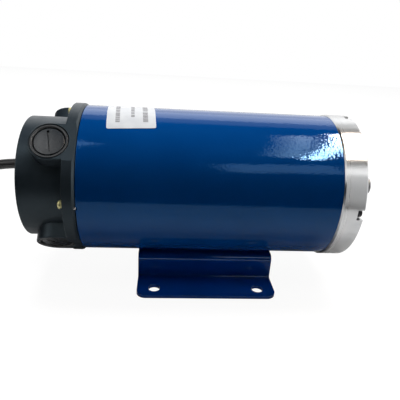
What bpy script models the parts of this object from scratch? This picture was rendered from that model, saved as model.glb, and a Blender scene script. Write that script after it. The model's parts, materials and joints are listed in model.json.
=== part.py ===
"""Foot-mounted brushed DC motor that drives a pool pump.

Frame: +X along the shaft towards the drive end, +Z up, the underside of the foot at z = 0.
X is counted from the middle of the overall length. A station is a distance along the
shaft from the flat end of the rear bell, and a height over the shaft is a radius.
"""

from math import atan2, cos, pi, radians, sin, tau

import bmesh
import bpy
from mathutils import Euler, Matrix, Vector

MM = 0.001

# Driving dimensions
OVERALL_LENGTH = 268.3 * MM
SHAFT_HEIGHT = 78.0 * MM
GAP = 0.3 * MM
OVERCUT = 1.0 * MM
BIG_ROUND = 40
MIDDLE_ROUND = 24
SMALL_ROUND = 16
TINY_ROUND = 8

# Stations along the shaft
BELL_FLOOR = 4.0 * MM
BRUSH_STATION = 23.2 * MM
RING_BACK = 32.9 * MM
RING_FRONT = 41.3 * MM
TUBE_BACK = 41.6 * MM
TUBE_FRONT = 224.6 * MM
FLANGE_BACK = 224.9 * MM
FLANGE_FACE = 241.6 * MM
PILOT_FACE = 244.6 * MM
REAR_SPIGOT_END = 47.0 * MM
FRONT_SPIGOT_END = 218.0 * MM

# Radii
TUBE_OUTER = 55.0 * MM
TUBE_INNER = 47.5 * MM
BELL_OUTER = 45.4 * MM
BELL_INNER = 41.4 * MM
RING_RADIUS = 56.4 * MM
FLANGE_RADIUS = 56.1 * MM
SPIGOT_RADIUS = 47.2 * MM
SCREW_CIRCLE = 50.9 * MM
SCREW_TURN = -2.3
SCREW_RADIUS = 1.8 * MM
SCREW_HOLE_RADIUS = 2.2 * MM
QUARTERS = (0, 90, 180, 270)

# Bearings, as stations from and to, and the places they sit in
REAR_BEARING = (6.3 * MM, 15.3 * MM)
REAR_BEARING_RADII = (5.3 * MM, 8.6 * MM, 8.9 * MM, 15.0 * MM)
FRONT_BEARING = (222.6 * MM, 234.6 * MM)
FRONT_BEARING_RADII = (8.8 * MM, 12.7 * MM, 13.0 * MM, 20.0 * MM)
BEARING_BOSS_RADIUS = 19.0 * MM
CLIP_GROOVE = (220.3 * MM, 222.5 * MM)
CLIP_GROOVE_RADIUS = 21.2 * MM
SEAL_FLOOR = 237.6 * MM
SEAL_RADII = (7.3 * MM, 13.0 * MM)
PILOT_RADIUS = 30.0 * MM
SHAFT_PASSAGE = 9.5 * MM

# Brush gear, with heights over the shaft's axis
BOSS_ANGLES = (45, 135, 225, 315)
BOSS_RADIUS = 13.9 * MM
BOSS_FACE = 54.3 * MM
RING_FLAT = 54.6 * MM
WELL_RADIUS = 12.9 * MM
WELL_FLOOR = 45.5 * MM
HOLDER_RADIUS = 8.6 * MM
HOLDER_END = 22.5 * MM
CAP_RADIUS = 10.2 * MM
CAP_TOP = 53.7 * MM
CAP_BOTTOM = 48.5 * MM
CAP_SLOT = (17.0 * MM, 1.3 * MM, 1.8 * MM)
CAP_SLOT_ANGLES = (87, 20, 65, -45)
BRUSH_SIDE = 8.4 * MM
BRUSH_BORE = 9.0 * MM
BRUSH_BACK = 36.2 * MM
COMMUTATOR_RADIUS = 20.0 * MM

# Rotor
CORE_STATIONS = (75.0 * MM, 185.0 * MM)
CORE_RADIUS = 39.2 * MM
CORE_BORE = 10.3 * MM
SLOTS = 16
WINDING_REACH = 17.0 * MM
BARS = 20
SHAFT_TIP_RADIUS = 7.0 * MM
KEY = (16.0 * MM, 5.0 * MM, 5.0 * MM)

# Magnets
MAGNET_STATIONS = (70.0 * MM, 190.0 * MM)
MAGNET_OUTER = 47.2 * MM
MAGNET_INNER = 40.0 * MM
MAGNET_ARC = 76

# Foot bracket
FOOT_BACK = 81.5 * MM
FOOT_LENGTH = 107.8 * MM
FOOT_HALF_WIDTH = 49.6 * MM
FOOT_WEB_FACE = 23.1 * MM
FOOT_THICKNESS = 2.8 * MM
FOOT_TOP_BEND = 4.6 * MM
FOOT_LOW_BEND = 2.0 * MM
FOOT_CORNER = 7.0 * MM
FOOT_HOLE_RADIUS = 4.6 * MM
FOOT_HOLE_SPACING = (81.1 * MM, 79.8 * MM)
TUBE_TO_FOOT = 0.3 * MM

# Label
LABEL_STATIONS = (60.3 * MM, 94.3 * MM)
LABEL_ANGLES = (58, 116)
LABEL_THICKNESS = 0.2 * MM

# Lead: places along the lead, counted from the rear face, across, and above the surface
CORD_RADIUS = 4.1 * MM
GLAND_RADIUS = 6.0 * MM
CORD_ACROSS = 27.0 * MM
CORD_HEIGHT = 78.2 * MM
CORD_ROUTE = (
    (5.0, 78.2),
    (-8.0, 78.2),
    (-20.0, 78.1),
    (-29.0, 77.4),
    (-38.0, 76.0),
    (-50.0, 72.6),
    (-64.0, 66.2),
    (-77.0, 57.0),
    (-89.0, 47.2),
    (-102.0, 38.6),
    (-117.0, 32.6),
    (-133.0, 30.2),
)
CORD_SOLID_ENDS = -103.6 * MM
COIL_RADIUS = 44.0 * MM
COIL_TURNS = 4
COIL_BASE = 1.5 * MM
COIL_CENTRE = (-133.0 * MM, -17.0 * MM)
TAIL_TURN = 10
TAIL_RADIUS = 33.0 * MM
TAIL_ARC = (88, 124)
TIE_ANGLES = (210, 310)
TIE_THICKNESS = 1.2 * MM
TIE_WIDTH = 5.0 * MM
CONNECTOR = (24.0 * MM, 13.0 * MM, 9.0 * MM)

# Colours, roughness and metallic value
PAINT_BLUE = ((0.012, 0.065, 0.26), 0.18, 0.0)
CAST_BLACK = ((0.022, 0.024, 0.027), 0.42, 0.0)
MACHINED = ((0.72, 0.73, 0.74), 0.28, 1.0)
ZINC_YELLOW = ((0.72, 0.66, 0.36), 0.28, 1.0)
BLACK_OXIDE = ((0.03, 0.03, 0.035), 0.4, 0.8)
SATIN_BLACK = ((0.05, 0.05, 0.052), 0.35, 0.0)
STICKER = ((0.82, 0.83, 0.84), 0.4, 0.0)
CORD_BLACK = ((0.018, 0.018, 0.02), 0.45, 0.0)
STEEL = ((0.56, 0.57, 0.58), 0.3, 1.0)
FERRITE = ((0.05, 0.05, 0.055), 0.6, 0.0)
COPPER = ((0.72, 0.36, 0.18), 0.35, 1.0)
CARBON = ((0.04, 0.04, 0.042), 0.55, 0.0)
RESIN = ((0.28, 0.09, 0.04), 0.5, 0.0)


# Scene and helpers


def start():
    for obj in list(bpy.data.objects):
        bpy.data.objects.remove(obj, do_unlink=True)
    made = []
    for name in ("pool_pump_motor", "pool_pump_motor_cutters"):
        collection = bpy.data.collections.new(name)
        bpy.context.scene.collection.children.link(collection)
        made.append(collection)
    return made


PARTS, CUTTERS = start()


def material(name, look):
    colour, roughness, metallic = look
    made = bpy.data.materials.new(name)
    made.use_nodes = True
    shader = made.node_tree.nodes["Principled BSDF"]
    shader.inputs["Base Color"].default_value = (*colour, 1.0)
    shader.inputs["Roughness"].default_value = roughness
    shader.inputs["Metallic"].default_value = metallic
    return made


def place(name, data, look=None, parent=None, location=(0, 0, 0), rotation=(0, 0, 0)):
    """A part with a material, or, without a look, a hidden cutter."""
    obj = bpy.data.objects.new(name, data)
    if look:
        PARTS.objects.link(obj)
        data.materials.append(material(name, look))
    else:
        CUTTERS.objects.link(obj)
        obj.hide_render = True
        obj.display_type = "WIRE"
    obj.parent = parent
    obj.location = location
    obj.rotation_euler = rotation
    return obj


def empty(name, location, rotation=(0, 0, 0)):
    obj = bpy.data.objects.new(name, None)
    PARTS.objects.link(obj)
    obj.location = location
    obj.rotation_euler = rotation
    return obj


def combine(obj, other, operation):
    boolean = obj.modifiers.new(other.name, "BOOLEAN")
    boolean.operation = operation
    boolean.solver = "EXACT"
    boolean.object = other


def cut(obj, other):
    combine(obj, other, "DIFFERENCE")


def join(obj, other):
    combine(obj, other, "UNION")


def at(station):
    return station - OVERALL_LENGTH / 2


def outward(angle):
    """Unit vector across the shaft, at an angle from the near side (-Y) towards the top."""
    return Vector((0, -cos(radians(angle)), sin(radians(angle))))


def facing(angle):
    """Rotation that points local Z outward at this angle and keeps local X along the shaft."""
    return (radians(90 - angle), 0, 0)


def on_axis(station):
    return Vector((at(station), 0, SHAFT_HEIGHT))


def mesh_from(name, build):
    mesh = bpy.data.meshes.new(name)
    bm = bmesh.new()
    build(bm)
    bm.to_mesh(mesh)
    bm.free()
    return mesh


def block(name, size):
    def build(bm):
        bmesh.ops.create_cube(bm, size=1.0, matrix=Matrix.Diagonal((*size, 1)))

    return mesh_from(name, build)


def rod(name, radius, length, sides):
    def build(bm):
        bmesh.ops.create_cone(
            bm,
            cap_ends=True,
            segments=sides,
            radius1=radius,
            radius2=radius,
            depth=length,
        )

    return mesh_from(name, build)


def profile_mesh(name, profile, loop):
    """A chain of (height, radius) points in the XZ plane, closed into a loop if asked."""

    def build(bm):
        points = [bm.verts.new((radius, 0, height)) for height, radius in profile]
        for a, b in zip(points, points[1:]):
            bm.edges.new((a, b))
        if loop:
            bm.edges.new((points[-1], points[0]))

    return mesh_from(name, build)


def turned(name, profile, sides, look=None, loop=False, **where):
    """A turned piece round its local Z. The profile runs down the outer side."""
    obj = place(name, profile_mesh(name, profile, loop), look, **where)
    screw = obj.modifiers.new("Turn", "SCREW")
    screw.axis = "Z"
    screw.angle = tau
    screw.steps = sides
    screw.render_steps = sides
    screw.use_merge_vertices = True
    screw.merge_threshold = 0.00001
    screw.use_smooth_shade = True
    return obj


def turned_on_shaft(name, profile, sides, look=None, loop=False, parent=None):
    """A turned piece whose heights are stations along the shaft."""
    where = {"location": on_axis(0), "rotation": (0, pi / 2, 0)}
    if parent:
        where = {"location": (at(0), 0, 0), "rotation": (0, pi / 2, 0), "parent": parent}
    return turned(name, profile, sides, look, loop, **where)


def ring(low, high, inner, outer):
    return ((high, outer), (low, outer), (low, inner), (high, inner))


def circle(radius, sides):
    steps = [tau * i / sides for i in range(sides)]
    return [(radius * cos(a), radius * sin(a)) for a in steps]


def flat_curve(name, outlines, thickness):
    curve = bpy.data.curves.new(name, "CURVE")
    curve.dimensions = "2D"
    curve.fill_mode = "BOTH"
    curve.extrude = thickness / 2
    for outline in outlines:
        spline = curve.splines.new("POLY")
        spline.points.add(len(outline) - 1)
        spline.use_cyclic_u = True
        for point, (x, y) in zip(spline.points, outline):
            point.co = (x, y, 0, 1)
    return curve


def meshed(curve):
    """The curve's solid as a mesh, with its caps welded on."""
    source = bpy.data.objects.new(curve.name, curve)
    CUTTERS.objects.link(source)
    depsgraph = bpy.context.evaluated_depsgraph_get()
    mesh = bpy.data.meshes.new_from_object(source.evaluated_get(depsgraph))
    bm = bmesh.new()
    bm.from_mesh(mesh)
    bmesh.ops.remove_doubles(bm, verts=bm.verts, dist=0.000001)
    bmesh.ops.recalc_face_normals(bm, faces=bm.faces)
    bm.to_mesh(mesh)
    bm.free()
    bpy.data.objects.remove(source, do_unlink=True)
    return mesh


def prism(name, outlines, thickness):
    return meshed(flat_curve(name, outlines, thickness))


def tube_curve(name, points, radius, resolution):
    curve = bpy.data.curves.new(name, "CURVE")
    curve.dimensions = "3D"
    curve.bevel_depth = radius
    curve.bevel_resolution = resolution
    curve.use_fill_caps = True
    spline = curve.splines.new("POLY")
    spline.points.add(len(points) - 1)
    for point, place_of in zip(spline.points, points):
        point.co = (*place_of, 1)
    return curve


def smooth_through(points, spacing):
    """Even points on a Catmull-Rom curve through the given ones."""
    ends = [2 * points[0] - points[1], *points, 2 * points[-1] - points[-2]]
    fine = []
    for a, b, c, d in zip(ends, ends[1:], ends[2:], ends[3:]):
        for i in range(24):
            t = i / 24
            fine.append(
                0.5
                * (
                    2 * b
                    + (c - a) * t
                    + (2 * a - 5 * b + 4 * c - d) * t * t
                    + (3 * b - a - 3 * c + d) * t * t * t
                )
            )
    fine.append(points[-1])
    kept = [fine[0]]
    for point in fine[1:]:
        if (point - kept[-1]).length >= spacing:
            kept.append(point)
    if (kept[-1] - fine[-1]).length > spacing / 2:
        kept.append(fine[-1])
    else:
        kept[-1] = fine[-1]
    return kept


# Housing


def screw_angles():
    return [quarter + SCREW_TURN for quarter in QUARTERS]


def screw_holes(name, low, high):
    """Cutters for four screw holes along the shaft's direction, between two stations."""
    holes = []
    for i, angle in enumerate(screw_angles(), 1):
        centre = on_axis((low + high) / 2) + SCREW_CIRCLE * outward(angle)
        mesh = rod(f"{name}_{i}", SCREW_HOLE_RADIUS, high - low, TINY_ROUND)
        holes.append(place(mesh.name, mesh, location=centre, rotation=(0, pi / 2, 0)))
    return holes


def motor_tube():
    chamfer = 0.6 * MM
    profile = (
        (TUBE_FRONT, TUBE_OUTER - chamfer),
        (TUBE_FRONT - chamfer, TUBE_OUTER),
        (TUBE_BACK + chamfer, TUBE_OUTER),
        (TUBE_BACK, TUBE_OUTER - chamfer),
        (TUBE_BACK, TUBE_INNER),
        (TUBE_FRONT, TUBE_INNER),
    )
    tube = turned_on_shaft("motor_tube", profile, BIG_ROUND, PAINT_BLUE, loop=True)
    depth = 12 * MM
    for hole in screw_holes("tube_back_hole", TUBE_BACK - OVERCUT, TUBE_BACK + depth):
        cut(tube, hole)
    for hole in screw_holes("tube_front_hole", TUBE_FRONT - depth, TUBE_FRONT + OVERCUT):
        cut(tube, hole)


def boss_outline(radius, reach):
    """Half circle towards the rear, with straight sides that run on to the ring."""
    turn = [pi / 2 + pi * i / 10 for i in range(11)]
    arc = [(radius * cos(a), radius * sin(a)) for a in turn]
    return [*arc, (reach, -radius), (reach, radius)]


def rear_bell():
    fillet = 3.0 * MM
    pocket_floor = 4.5 * MM
    pocket = REAR_BEARING_RADII[3] + GAP
    pocket_mouth = REAR_BEARING[1] + GAP
    chamfer = 1.6 * MM
    turn = [pi / 2 * i / 3 for i in range(4)]
    corner = [
        (fillet - fillet * sin(a), BELL_OUTER - fillet + fillet * cos(a)) for a in turn
    ]
    profile = (
        (pocket_floor, 0),
        (pocket_floor, pocket),
        (pocket_mouth, pocket),
        (pocket_mouth, BEARING_BOSS_RADIUS),
        (BELL_FLOOR, BEARING_BOSS_RADIUS),
        (BELL_FLOOR, BELL_INNER),
        (REAR_SPIGOT_END, BELL_INNER),
        (REAR_SPIGOT_END, SPIGOT_RADIUS),
        (RING_FRONT, SPIGOT_RADIUS),
        (RING_FRONT, RING_RADIUS - chamfer),
        (RING_FRONT - chamfer, RING_RADIUS),
        (RING_BACK, RING_RADIUS),
        (RING_BACK, BELL_OUTER),
        *corner,
        (0, 0),
    )
    bell = turned_on_shaft("rear_bell", profile, BIG_ROUND, CAST_BLACK)
    boss_bottom = 42.6 * MM
    hole_bottom = 38.0 * MM
    flat_size = (12 * MM, 40 * MM, 8 * MM)
    flat_station = RING_BACK + 5.8 * MM
    boss_mesh = prism(
        "brush_boss",
        [boss_outline(BOSS_RADIUS, RING_BACK + 2 * OVERCUT - BRUSH_STATION)],
        BOSS_FACE - boss_bottom,
    )
    flat_mesh = block("ring_flat", flat_size)
    well_profile = (
        (BOSS_FACE + OVERCUT, 0),
        (BOSS_FACE + OVERCUT, WELL_RADIUS),
        (WELL_FLOOR, WELL_RADIUS),
        (WELL_FLOOR, HOLDER_RADIUS + GAP),
        (hole_bottom, HOLDER_RADIUS + GAP),
        (hole_bottom, 0),
    )
    for i, angle in enumerate(BOSS_ANGLES, 1):
        middle = on_axis(BRUSH_STATION) + (BOSS_FACE + boss_bottom) / 2 * outward(angle)
        boss = place(f"boss_{i}", boss_mesh, location=middle, rotation=facing(angle))
        join(bell, boss)
    for i, angle in enumerate(BOSS_ANGLES, 1):
        middle = on_axis(flat_station) + (RING_FLAT + flat_size[2] / 2) * outward(angle)
        cut(bell, place(f"flat_{i}", flat_mesh, location=middle, rotation=facing(angle)))
        well = turned(
            f"well_{i}",
            well_profile,
            MIDDLE_ROUND,
            location=on_axis(BRUSH_STATION),
            rotation=facing(angle),
        )
        cut(bell, well)
    for hole in screw_holes("ring_hole", RING_BACK - OVERCUT, RING_FRONT + OVERCUT):
        cut(bell, hole)
    gland_hole = rod("gland_hole", GLAND_RADIUS + GAP, 14 * MM, SMALL_ROUND)
    centre = (at(BELL_FLOOR / 2), CORD_ACROSS, CORD_HEIGHT)
    cut(bell, place("gland_hole", gland_hole, location=centre, rotation=(0, pi / 2, 0)))


def front_flange():
    chamfer = 0.8 * MM
    spigot_inner = 42.0 * MM
    pocket_floor = 228.0 * MM
    boss_outer = 25.0 * MM
    seat = FRONT_BEARING_RADII[3] + GAP
    seat_floor = FRONT_BEARING[1] + GAP
    seal_seat = SEAL_RADII[1] + GAP
    profile = (
        (PILOT_FACE, PILOT_RADIUS),
        (FLANGE_FACE, PILOT_RADIUS),
        (FLANGE_FACE, FLANGE_RADIUS - chamfer),
        (FLANGE_FACE - chamfer, FLANGE_RADIUS),
        (FLANGE_BACK, FLANGE_RADIUS),
        (FLANGE_BACK, SPIGOT_RADIUS),
        (FRONT_SPIGOT_END, SPIGOT_RADIUS),
        (FRONT_SPIGOT_END, spigot_inner),
        (pocket_floor, spigot_inner),
        (pocket_floor, boss_outer),
        (FRONT_SPIGOT_END, boss_outer),
        (FRONT_SPIGOT_END, seat),
        (CLIP_GROOVE[0], seat),
        (CLIP_GROOVE[0], CLIP_GROOVE_RADIUS),
        (CLIP_GROOVE[1], CLIP_GROOVE_RADIUS),
        (CLIP_GROOVE[1], seat),
        (seat_floor, seat),
        (seat_floor, SHAFT_PASSAGE),
        (SEAL_FLOOR, SHAFT_PASSAGE),
        (SEAL_FLOOR, seal_seat),
        (PILOT_FACE, seal_seat),
    )
    flange = turned_on_shaft("front_flange", profile, BIG_ROUND, MACHINED, loop=True)
    notch_size = (10 * MM, 7.6 * MM, 14 * MM)
    notch_depth = 5.0 * MM
    notch_floor_radius = 46.9 * MM
    notch = block("rim_notch", notch_size)
    for i, angle in enumerate(screw_angles(), 1):
        centre = on_axis(FLANGE_FACE - notch_depth + notch_size[0] / 2)
        centre += (notch_floor_radius + notch_size[2] / 2) * outward(angle)
        cut(flange, place(f"notch_{i}", notch, location=centre, rotation=facing(angle)))
    for hole in screw_holes("flange_hole", FRONT_SPIGOT_END - OVERCUT, FLANGE_FACE):
        cut(flange, hole)
    tapped_depth = 10.0 * MM
    tapped_circle = 38.5 * MM
    tapped = rod("tapped_hole", 2.6 * MM, 2 * tapped_depth, TINY_ROUND)
    for i, angle in enumerate(BOSS_ANGLES, 1):
        centre = on_axis(FLANGE_FACE) + tapped_circle * outward(angle)
        drilled = place(f"tapped_{i}", tapped, location=centre, rotation=(0, pi / 2, 0))
        cut(flange, drilled)


def screws():
    """Screws and washers at the bell ring, and socket screws in the flange's notches."""
    head_radius = 3.0 * MM
    washer_front = RING_BACK - GAP
    washer_back = washer_front - 1.0 * MM
    head_front = washer_back - GAP
    head_back = head_front - 2.2 * MM
    rear_tip = TUBE_BACK + 9.4 * MM
    socket_back = 236.9 * MM
    socket_front = 240.9 * MM
    front_tip = TUBE_FRONT - 10.6 * MM
    pan = (
        (rear_tip, 0),
        (rear_tip, SCREW_RADIUS),
        (head_front, SCREW_RADIUS),
        (head_front, head_radius),
        (head_front - 1.2 * MM, head_radius),
        (head_back + 0.3 * MM, 2.1 * MM),
        (head_back, 1.0 * MM),
        (head_back, 0),
    )
    driver = block("driver_slot", (1.2 * MM, 5.0 * MM, 0.9 * MM))
    socket = (
        (socket_front, 0),
        (socket_front, 3.3 * MM),
        (socket_back, 3.3 * MM),
        (socket_back, SCREW_RADIUS),
        (front_tip, SCREW_RADIUS),
        (front_tip, 0),
    )
    hexagon = rod("hex_socket", 1.7 * MM, 4 * MM, 6)
    along = (0, pi / 2, 0)
    for i, angle in enumerate(screw_angles(), 1):
        foot = on_axis(0) + SCREW_CIRCLE * outward(angle)
        where = {"location": foot, "rotation": along}
        screw = turned(f"rear_screw_{i}", pan, 10, ZINC_YELLOW, **where)
        slot_at = foot + Vector((head_back, 0, 0))
        slot = place(f"driver_{i}", driver, location=slot_at, rotation=along)
        cut(screw, slot)
        washer = ring(washer_back, washer_front, SCREW_RADIUS + GAP, head_radius)
        turned(f"rear_washer_{i}", washer, 10, ZINC_YELLOW, loop=True, **where)
        bolt = turned(f"front_screw_{i}", socket, 10, BLACK_OXIDE, **where)
        socket_at = foot + Vector((socket_front, 0, 0))
        cut(bolt, place(f"socket_{i}", hexagon, location=socket_at, rotation=along))


def bent_strip_points():
    """Middle line of the foot's section, in the YZ plane, from one edge to the other."""
    half = FOOT_THICKNESS / 2
    top = SHAFT_HEIGHT - TUBE_OUTER - TUBE_TO_FOOT - half
    web = FOOT_WEB_FACE - half
    big = FOOT_TOP_BEND - half
    small = FOOT_LOW_BEND + half
    low = half
    steps = [i / 4 for i in range(5)]
    side = [(FOOT_HALF_WIDTH, low)]
    for t in steps:
        a = -pi / 2 - t * pi / 2
        side.append((web + small + small * cos(a), low + small + small * sin(a)))
    for t in steps:
        a = t * pi / 2
        side.append((web - big + big * cos(a), top - big + big * sin(a)))
    return side + [(-y, z) for y, z in reversed(side)]


def foot_bracket():
    points = bent_strip_points()

    def build(bm):
        rows = [
            [bm.verts.new((x, y, z)) for y, z in points]
            for x in (-FOOT_LENGTH / 2, FOOT_LENGTH / 2)
        ]
        for i in range(len(points) - 1):
            bm.faces.new((rows[0][i], rows[0][i + 1], rows[1][i + 1], rows[1][i]))

    mesh = mesh_from("foot_bracket", build)
    middle = (at(FOOT_BACK + FOOT_LENGTH / 2), 0, 0)
    bracket = place("foot_bracket", mesh, PAINT_BLUE, location=middle)
    thick = bracket.modifiers.new("Thickness", "SOLIDIFY")
    thick.thickness = FOOT_THICKNESS
    thick.offset = 0
    thick.use_even_offset = True
    plan = []
    for x, y, start_angle in ((1, 1, 0), (-1, 1, 90), (-1, -1, 180), (1, -1, 270)):
        centre_x = x * (FOOT_LENGTH / 2 - FOOT_CORNER)
        centre_y = y * (FOOT_HALF_WIDTH - FOOT_CORNER)
        for i in range(5):
            a = radians(start_angle + 90 * i / 4)
            plan.append((centre_x + FOOT_CORNER * cos(a), centre_y + FOOT_CORNER * sin(a)))
    outline = place("foot_outline", prism("foot_outline", [plan], 80 * MM), location=middle)
    combine(bracket, outline, "INTERSECT")
    hole = rod("foot_hole", FOOT_HOLE_RADIUS, 20 * MM, SMALL_ROUND)
    corners = ((-1, -1), (-1, 1), (1, -1), (1, 1))
    for i, (x, y) in enumerate(corners, 1):
        centre = (
            middle[0] + x * FOOT_HOLE_SPACING[0] / 2,
            y * FOOT_HOLE_SPACING[1] / 2,
            0,
        )
        cut(bracket, place(f"foot_hole_{i}", hole, location=centre))


def foot_welds():
    """Beads along both sides of the line where the tube stands on the foot."""
    across = 15.0 * MM
    bead = 0.85 * MM
    height = SHAFT_HEIGHT - 54.15 * MM
    length = FOOT_LENGTH - 30 * MM
    middle = at(FOOT_BACK + FOOT_LENGTH / 2)
    for name, side in (("foot_weld_near", -1), ("foot_weld_far", 1)):
        where = {"location": (middle, side * across, height), "rotation": (0, pi / 2, 0)}
        place(name, rod(name, bead, length, TINY_ROUND), PAINT_BLUE, **where)


def rating_label():
    inner = TUBE_OUTER + GAP
    steps = 12
    span = LABEL_ANGLES[1] - LABEL_ANGLES[0]
    angles = [LABEL_ANGLES[0] + span * i / steps for i in range(steps + 1)]

    def build(bm):
        rows = [
            [bm.verts.new(on_axis(s) + inner * outward(a)) for a in angles]
            for s in LABEL_STATIONS
        ]
        for i in range(steps):
            bm.faces.new((rows[0][i], rows[1][i], rows[1][i + 1], rows[0][i + 1]))

    label = place("rating_label", mesh_from("rating_label", build), STICKER)
    thick = label.modifiers.new("Thickness", "SOLIDIFY")
    thick.thickness = LABEL_THICKNESS
    thick.offset = 1


def seam_pin():
    """Pin end that shows at the joint between the bell ring and the tube."""
    angle = -3.3
    radius = 0.9 * MM
    length = 4.0 * MM
    centre = on_axis((RING_FRONT + TUBE_BACK) / 2) + (TUBE_OUTER - 0.4 * MM) * outward(angle)
    where = {"location": centre, "rotation": (0, pi / 2, 0)}
    hole = place("pin_hole", rod("pin_hole", radius + GAP, length + 2 * GAP, TINY_ROUND), **where)
    cut(bpy.data.objects["rear_bell"], hole)
    cut(bpy.data.objects["motor_tube"], hole)
    place("seam_pin", rod("seam_pin", radius, length, TINY_ROUND), STEEL, **where)


# Magnets and brush gear


def field_magnets():
    length = MAGNET_STATIONS[1] - MAGNET_STATIONS[0]
    half = MAGNET_ARC / 2
    steps = [radians(-half + MAGNET_ARC * i / 8) for i in range(9)]
    outer = [(MAGNET_OUTER * sin(a), MAGNET_OUTER * cos(a)) for a in steps]
    inner = [(MAGNET_INNER * sin(a), MAGNET_INNER * cos(a)) for a in reversed(steps)]
    middle = on_axis(sum(MAGNET_STATIONS) / 2)
    for i, angle in enumerate(QUARTERS, 1):
        name = f"field_magnet_{i}"
        magnet = place(name, prism(name, [outer + inner], length), FERRITE, location=middle)
        turn = Euler(facing(angle)).to_matrix()
        lay_along = Matrix(((0, 0, 1), (1, 0, 0), (0, 1, 0)))
        magnet.rotation_euler = (turn @ lay_along).to_euler()


def brush_holder(i, station):
    seat = CAP_BOTTOM - GAP
    rim = BOSS_FACE - 0.2 * MM
    profile = (
        (seat, 0),
        (seat, CAP_RADIUS + 0.5 * MM),
        (rim, CAP_RADIUS + 0.9 * MM),
        (rim, WELL_RADIUS - GAP),
        (WELL_FLOOR + GAP, WELL_RADIUS - GAP),
        (WELL_FLOOR + GAP, HOLDER_RADIUS),
        (HOLDER_END, HOLDER_RADIUS),
        (HOLDER_END, 0),
    )
    name = f"brush_holder_{i}"
    holder = turned(name, profile, MIDDLE_ROUND, SATIN_BLACK, parent=station)
    bore = block(f"brush_bore_{i}", (BRUSH_BORE, BRUSH_BORE, 40 * MM))
    cut(holder, place(bore.name, bore, parent=station, location=(0, 0, 34 * MM)))


def brush_cap(i, station):
    edge = 0.4 * MM
    profile = (
        (CAP_TOP, 0),
        (CAP_TOP, CAP_RADIUS - edge),
        (CAP_TOP - edge, CAP_RADIUS),
        (CAP_BOTTOM, CAP_RADIUS),
        (CAP_BOTTOM, 0),
    )
    cap = turned(f"brush_cap_{i}", profile, MIDDLE_ROUND, SATIN_BLACK, parent=station)
    slot = place(f"cap_slot_{i}", block(f"cap_slot_{i}", CAP_SLOT), parent=station)
    slot.location = (0, 0, CAP_TOP - CAP_SLOT[2] / 2 + 0.4 * MM)
    slot.rotation_euler = (0, 0, radians(CAP_SLOT_ANGLES[i - 1]))
    cut(cap, slot)


def carbon_brush(i, station):
    tip = COMMUTATOR_RADIUS - 1 * MM
    size = (BRUSH_SIDE, BRUSH_SIDE, BRUSH_BACK - tip)
    name = f"carbon_brush_{i}"
    brush = place(name, block(name, size), CARBON, parent=station)
    brush.location = (0, 0, (BRUSH_BACK + tip) / 2)
    face = rod(f"brush_face_{i}", COMMUTATOR_RADIUS + GAP, 20 * MM, 48)
    cut(brush, place(face.name, face, parent=station, rotation=(0, pi / 2, 0)))


def brush_spring(i, station):
    wire = 0.4 * MM
    radius = 3.1 * MM
    low = BRUSH_BACK + GAP + wire
    high = CAP_BOTTOM - GAP - wire
    turns = 3
    count = turns * 8
    points = []
    for k in range(count + 1):
        a = tau * k * turns / count
        points.append((radius * cos(a), radius * sin(a), low + (high - low) * k / count))
    place(f"brush_spring_{i}", tube_curve(f"brush_spring_{i}", points, wire, 2), STEEL, station)


def brush_gear():
    for i, angle in enumerate(BOSS_ANGLES, 1):
        station = empty(f"brush_axis_{i}", on_axis(BRUSH_STATION), facing(angle))
        brush_holder(i, station)
        brush_cap(i, station)
        carbon_brush(i, station)
        brush_spring(i, station)


# Rotor and bearings


def rotor_shaft(axis):
    profile = (
        (OVERALL_LENGTH, 0),
        (OVERALL_LENGTH, SHAFT_TIP_RADIUS - 1 * MM),
        (OVERALL_LENGTH - 1 * MM, SHAFT_TIP_RADIUS),
        (237.0 * MM, SHAFT_TIP_RADIUS),
        (237.0 * MM, 8.5 * MM),
        (210.0 * MM, 8.5 * MM),
        (210.0 * MM, 10.0 * MM),
        (48.0 * MM, 10.0 * MM),
        (48.0 * MM, 8.0 * MM),
        (16.0 * MM, 8.0 * MM),
        (16.0 * MM, 5.0 * MM),
        (6.4 * MM, 5.0 * MM),
        (6.4 * MM, 0),
    )
    shaft = turned_on_shaft("rotor_shaft", profile, MIDDLE_ROUND, STEEL, parent=axis)
    key_middle = (at(OVERALL_LENGTH - 11 * MM), 0, SHAFT_TIP_RADIUS - 0.5 * MM)
    seat_size = (KEY[0] + 2 * GAP, KEY[1] + 2 * GAP, KEY[2] + 2 * GAP)
    seat = block("keyway", seat_size)
    cut(shaft, place("keyway", seat, parent=axis, location=key_middle))
    place("shaft_key", block("shaft_key", KEY), STEEL, axis, location=key_middle)


def slotted_outline():
    """Armature lamination: wide slots that close to a narrow mouth at the rim."""
    outline = []
    pitch = 360 / SLOTS
    floor = 25.0 * MM
    neck = 37.2 * MM
    half_mouth = 1.6
    half_neck = 6.6
    half_floor = 5.2
    corners = (
        (CORE_RADIUS, -pitch / 2 + half_mouth),
        (CORE_RADIUS, 0),
        (CORE_RADIUS, pitch / 2 - half_mouth),
        (neck, pitch / 2 - half_mouth),
        (neck, pitch / 2 - half_neck),
        (floor, pitch / 2 - half_floor),
        (floor, pitch / 2 + half_floor),
        (neck, pitch / 2 + half_neck),
        (neck, pitch / 2 + half_mouth),
    )
    for k in range(SLOTS):
        for radius, angle in corners:
            a = radians(k * pitch + angle)
            outline.append((radius * cos(a), radius * sin(a)))
    return outline


def armature_core(axis):
    low, high = CORE_STATIONS
    outlines = [slotted_outline(), circle(CORE_BORE, MIDDLE_ROUND)]
    mesh = prism("armature_core", outlines, high - low)
    middle = (at((low + high) / 2), 0, 0)
    place("armature_core", mesh, STEEL, axis, middle, (0, pi / 2, 0))


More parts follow.
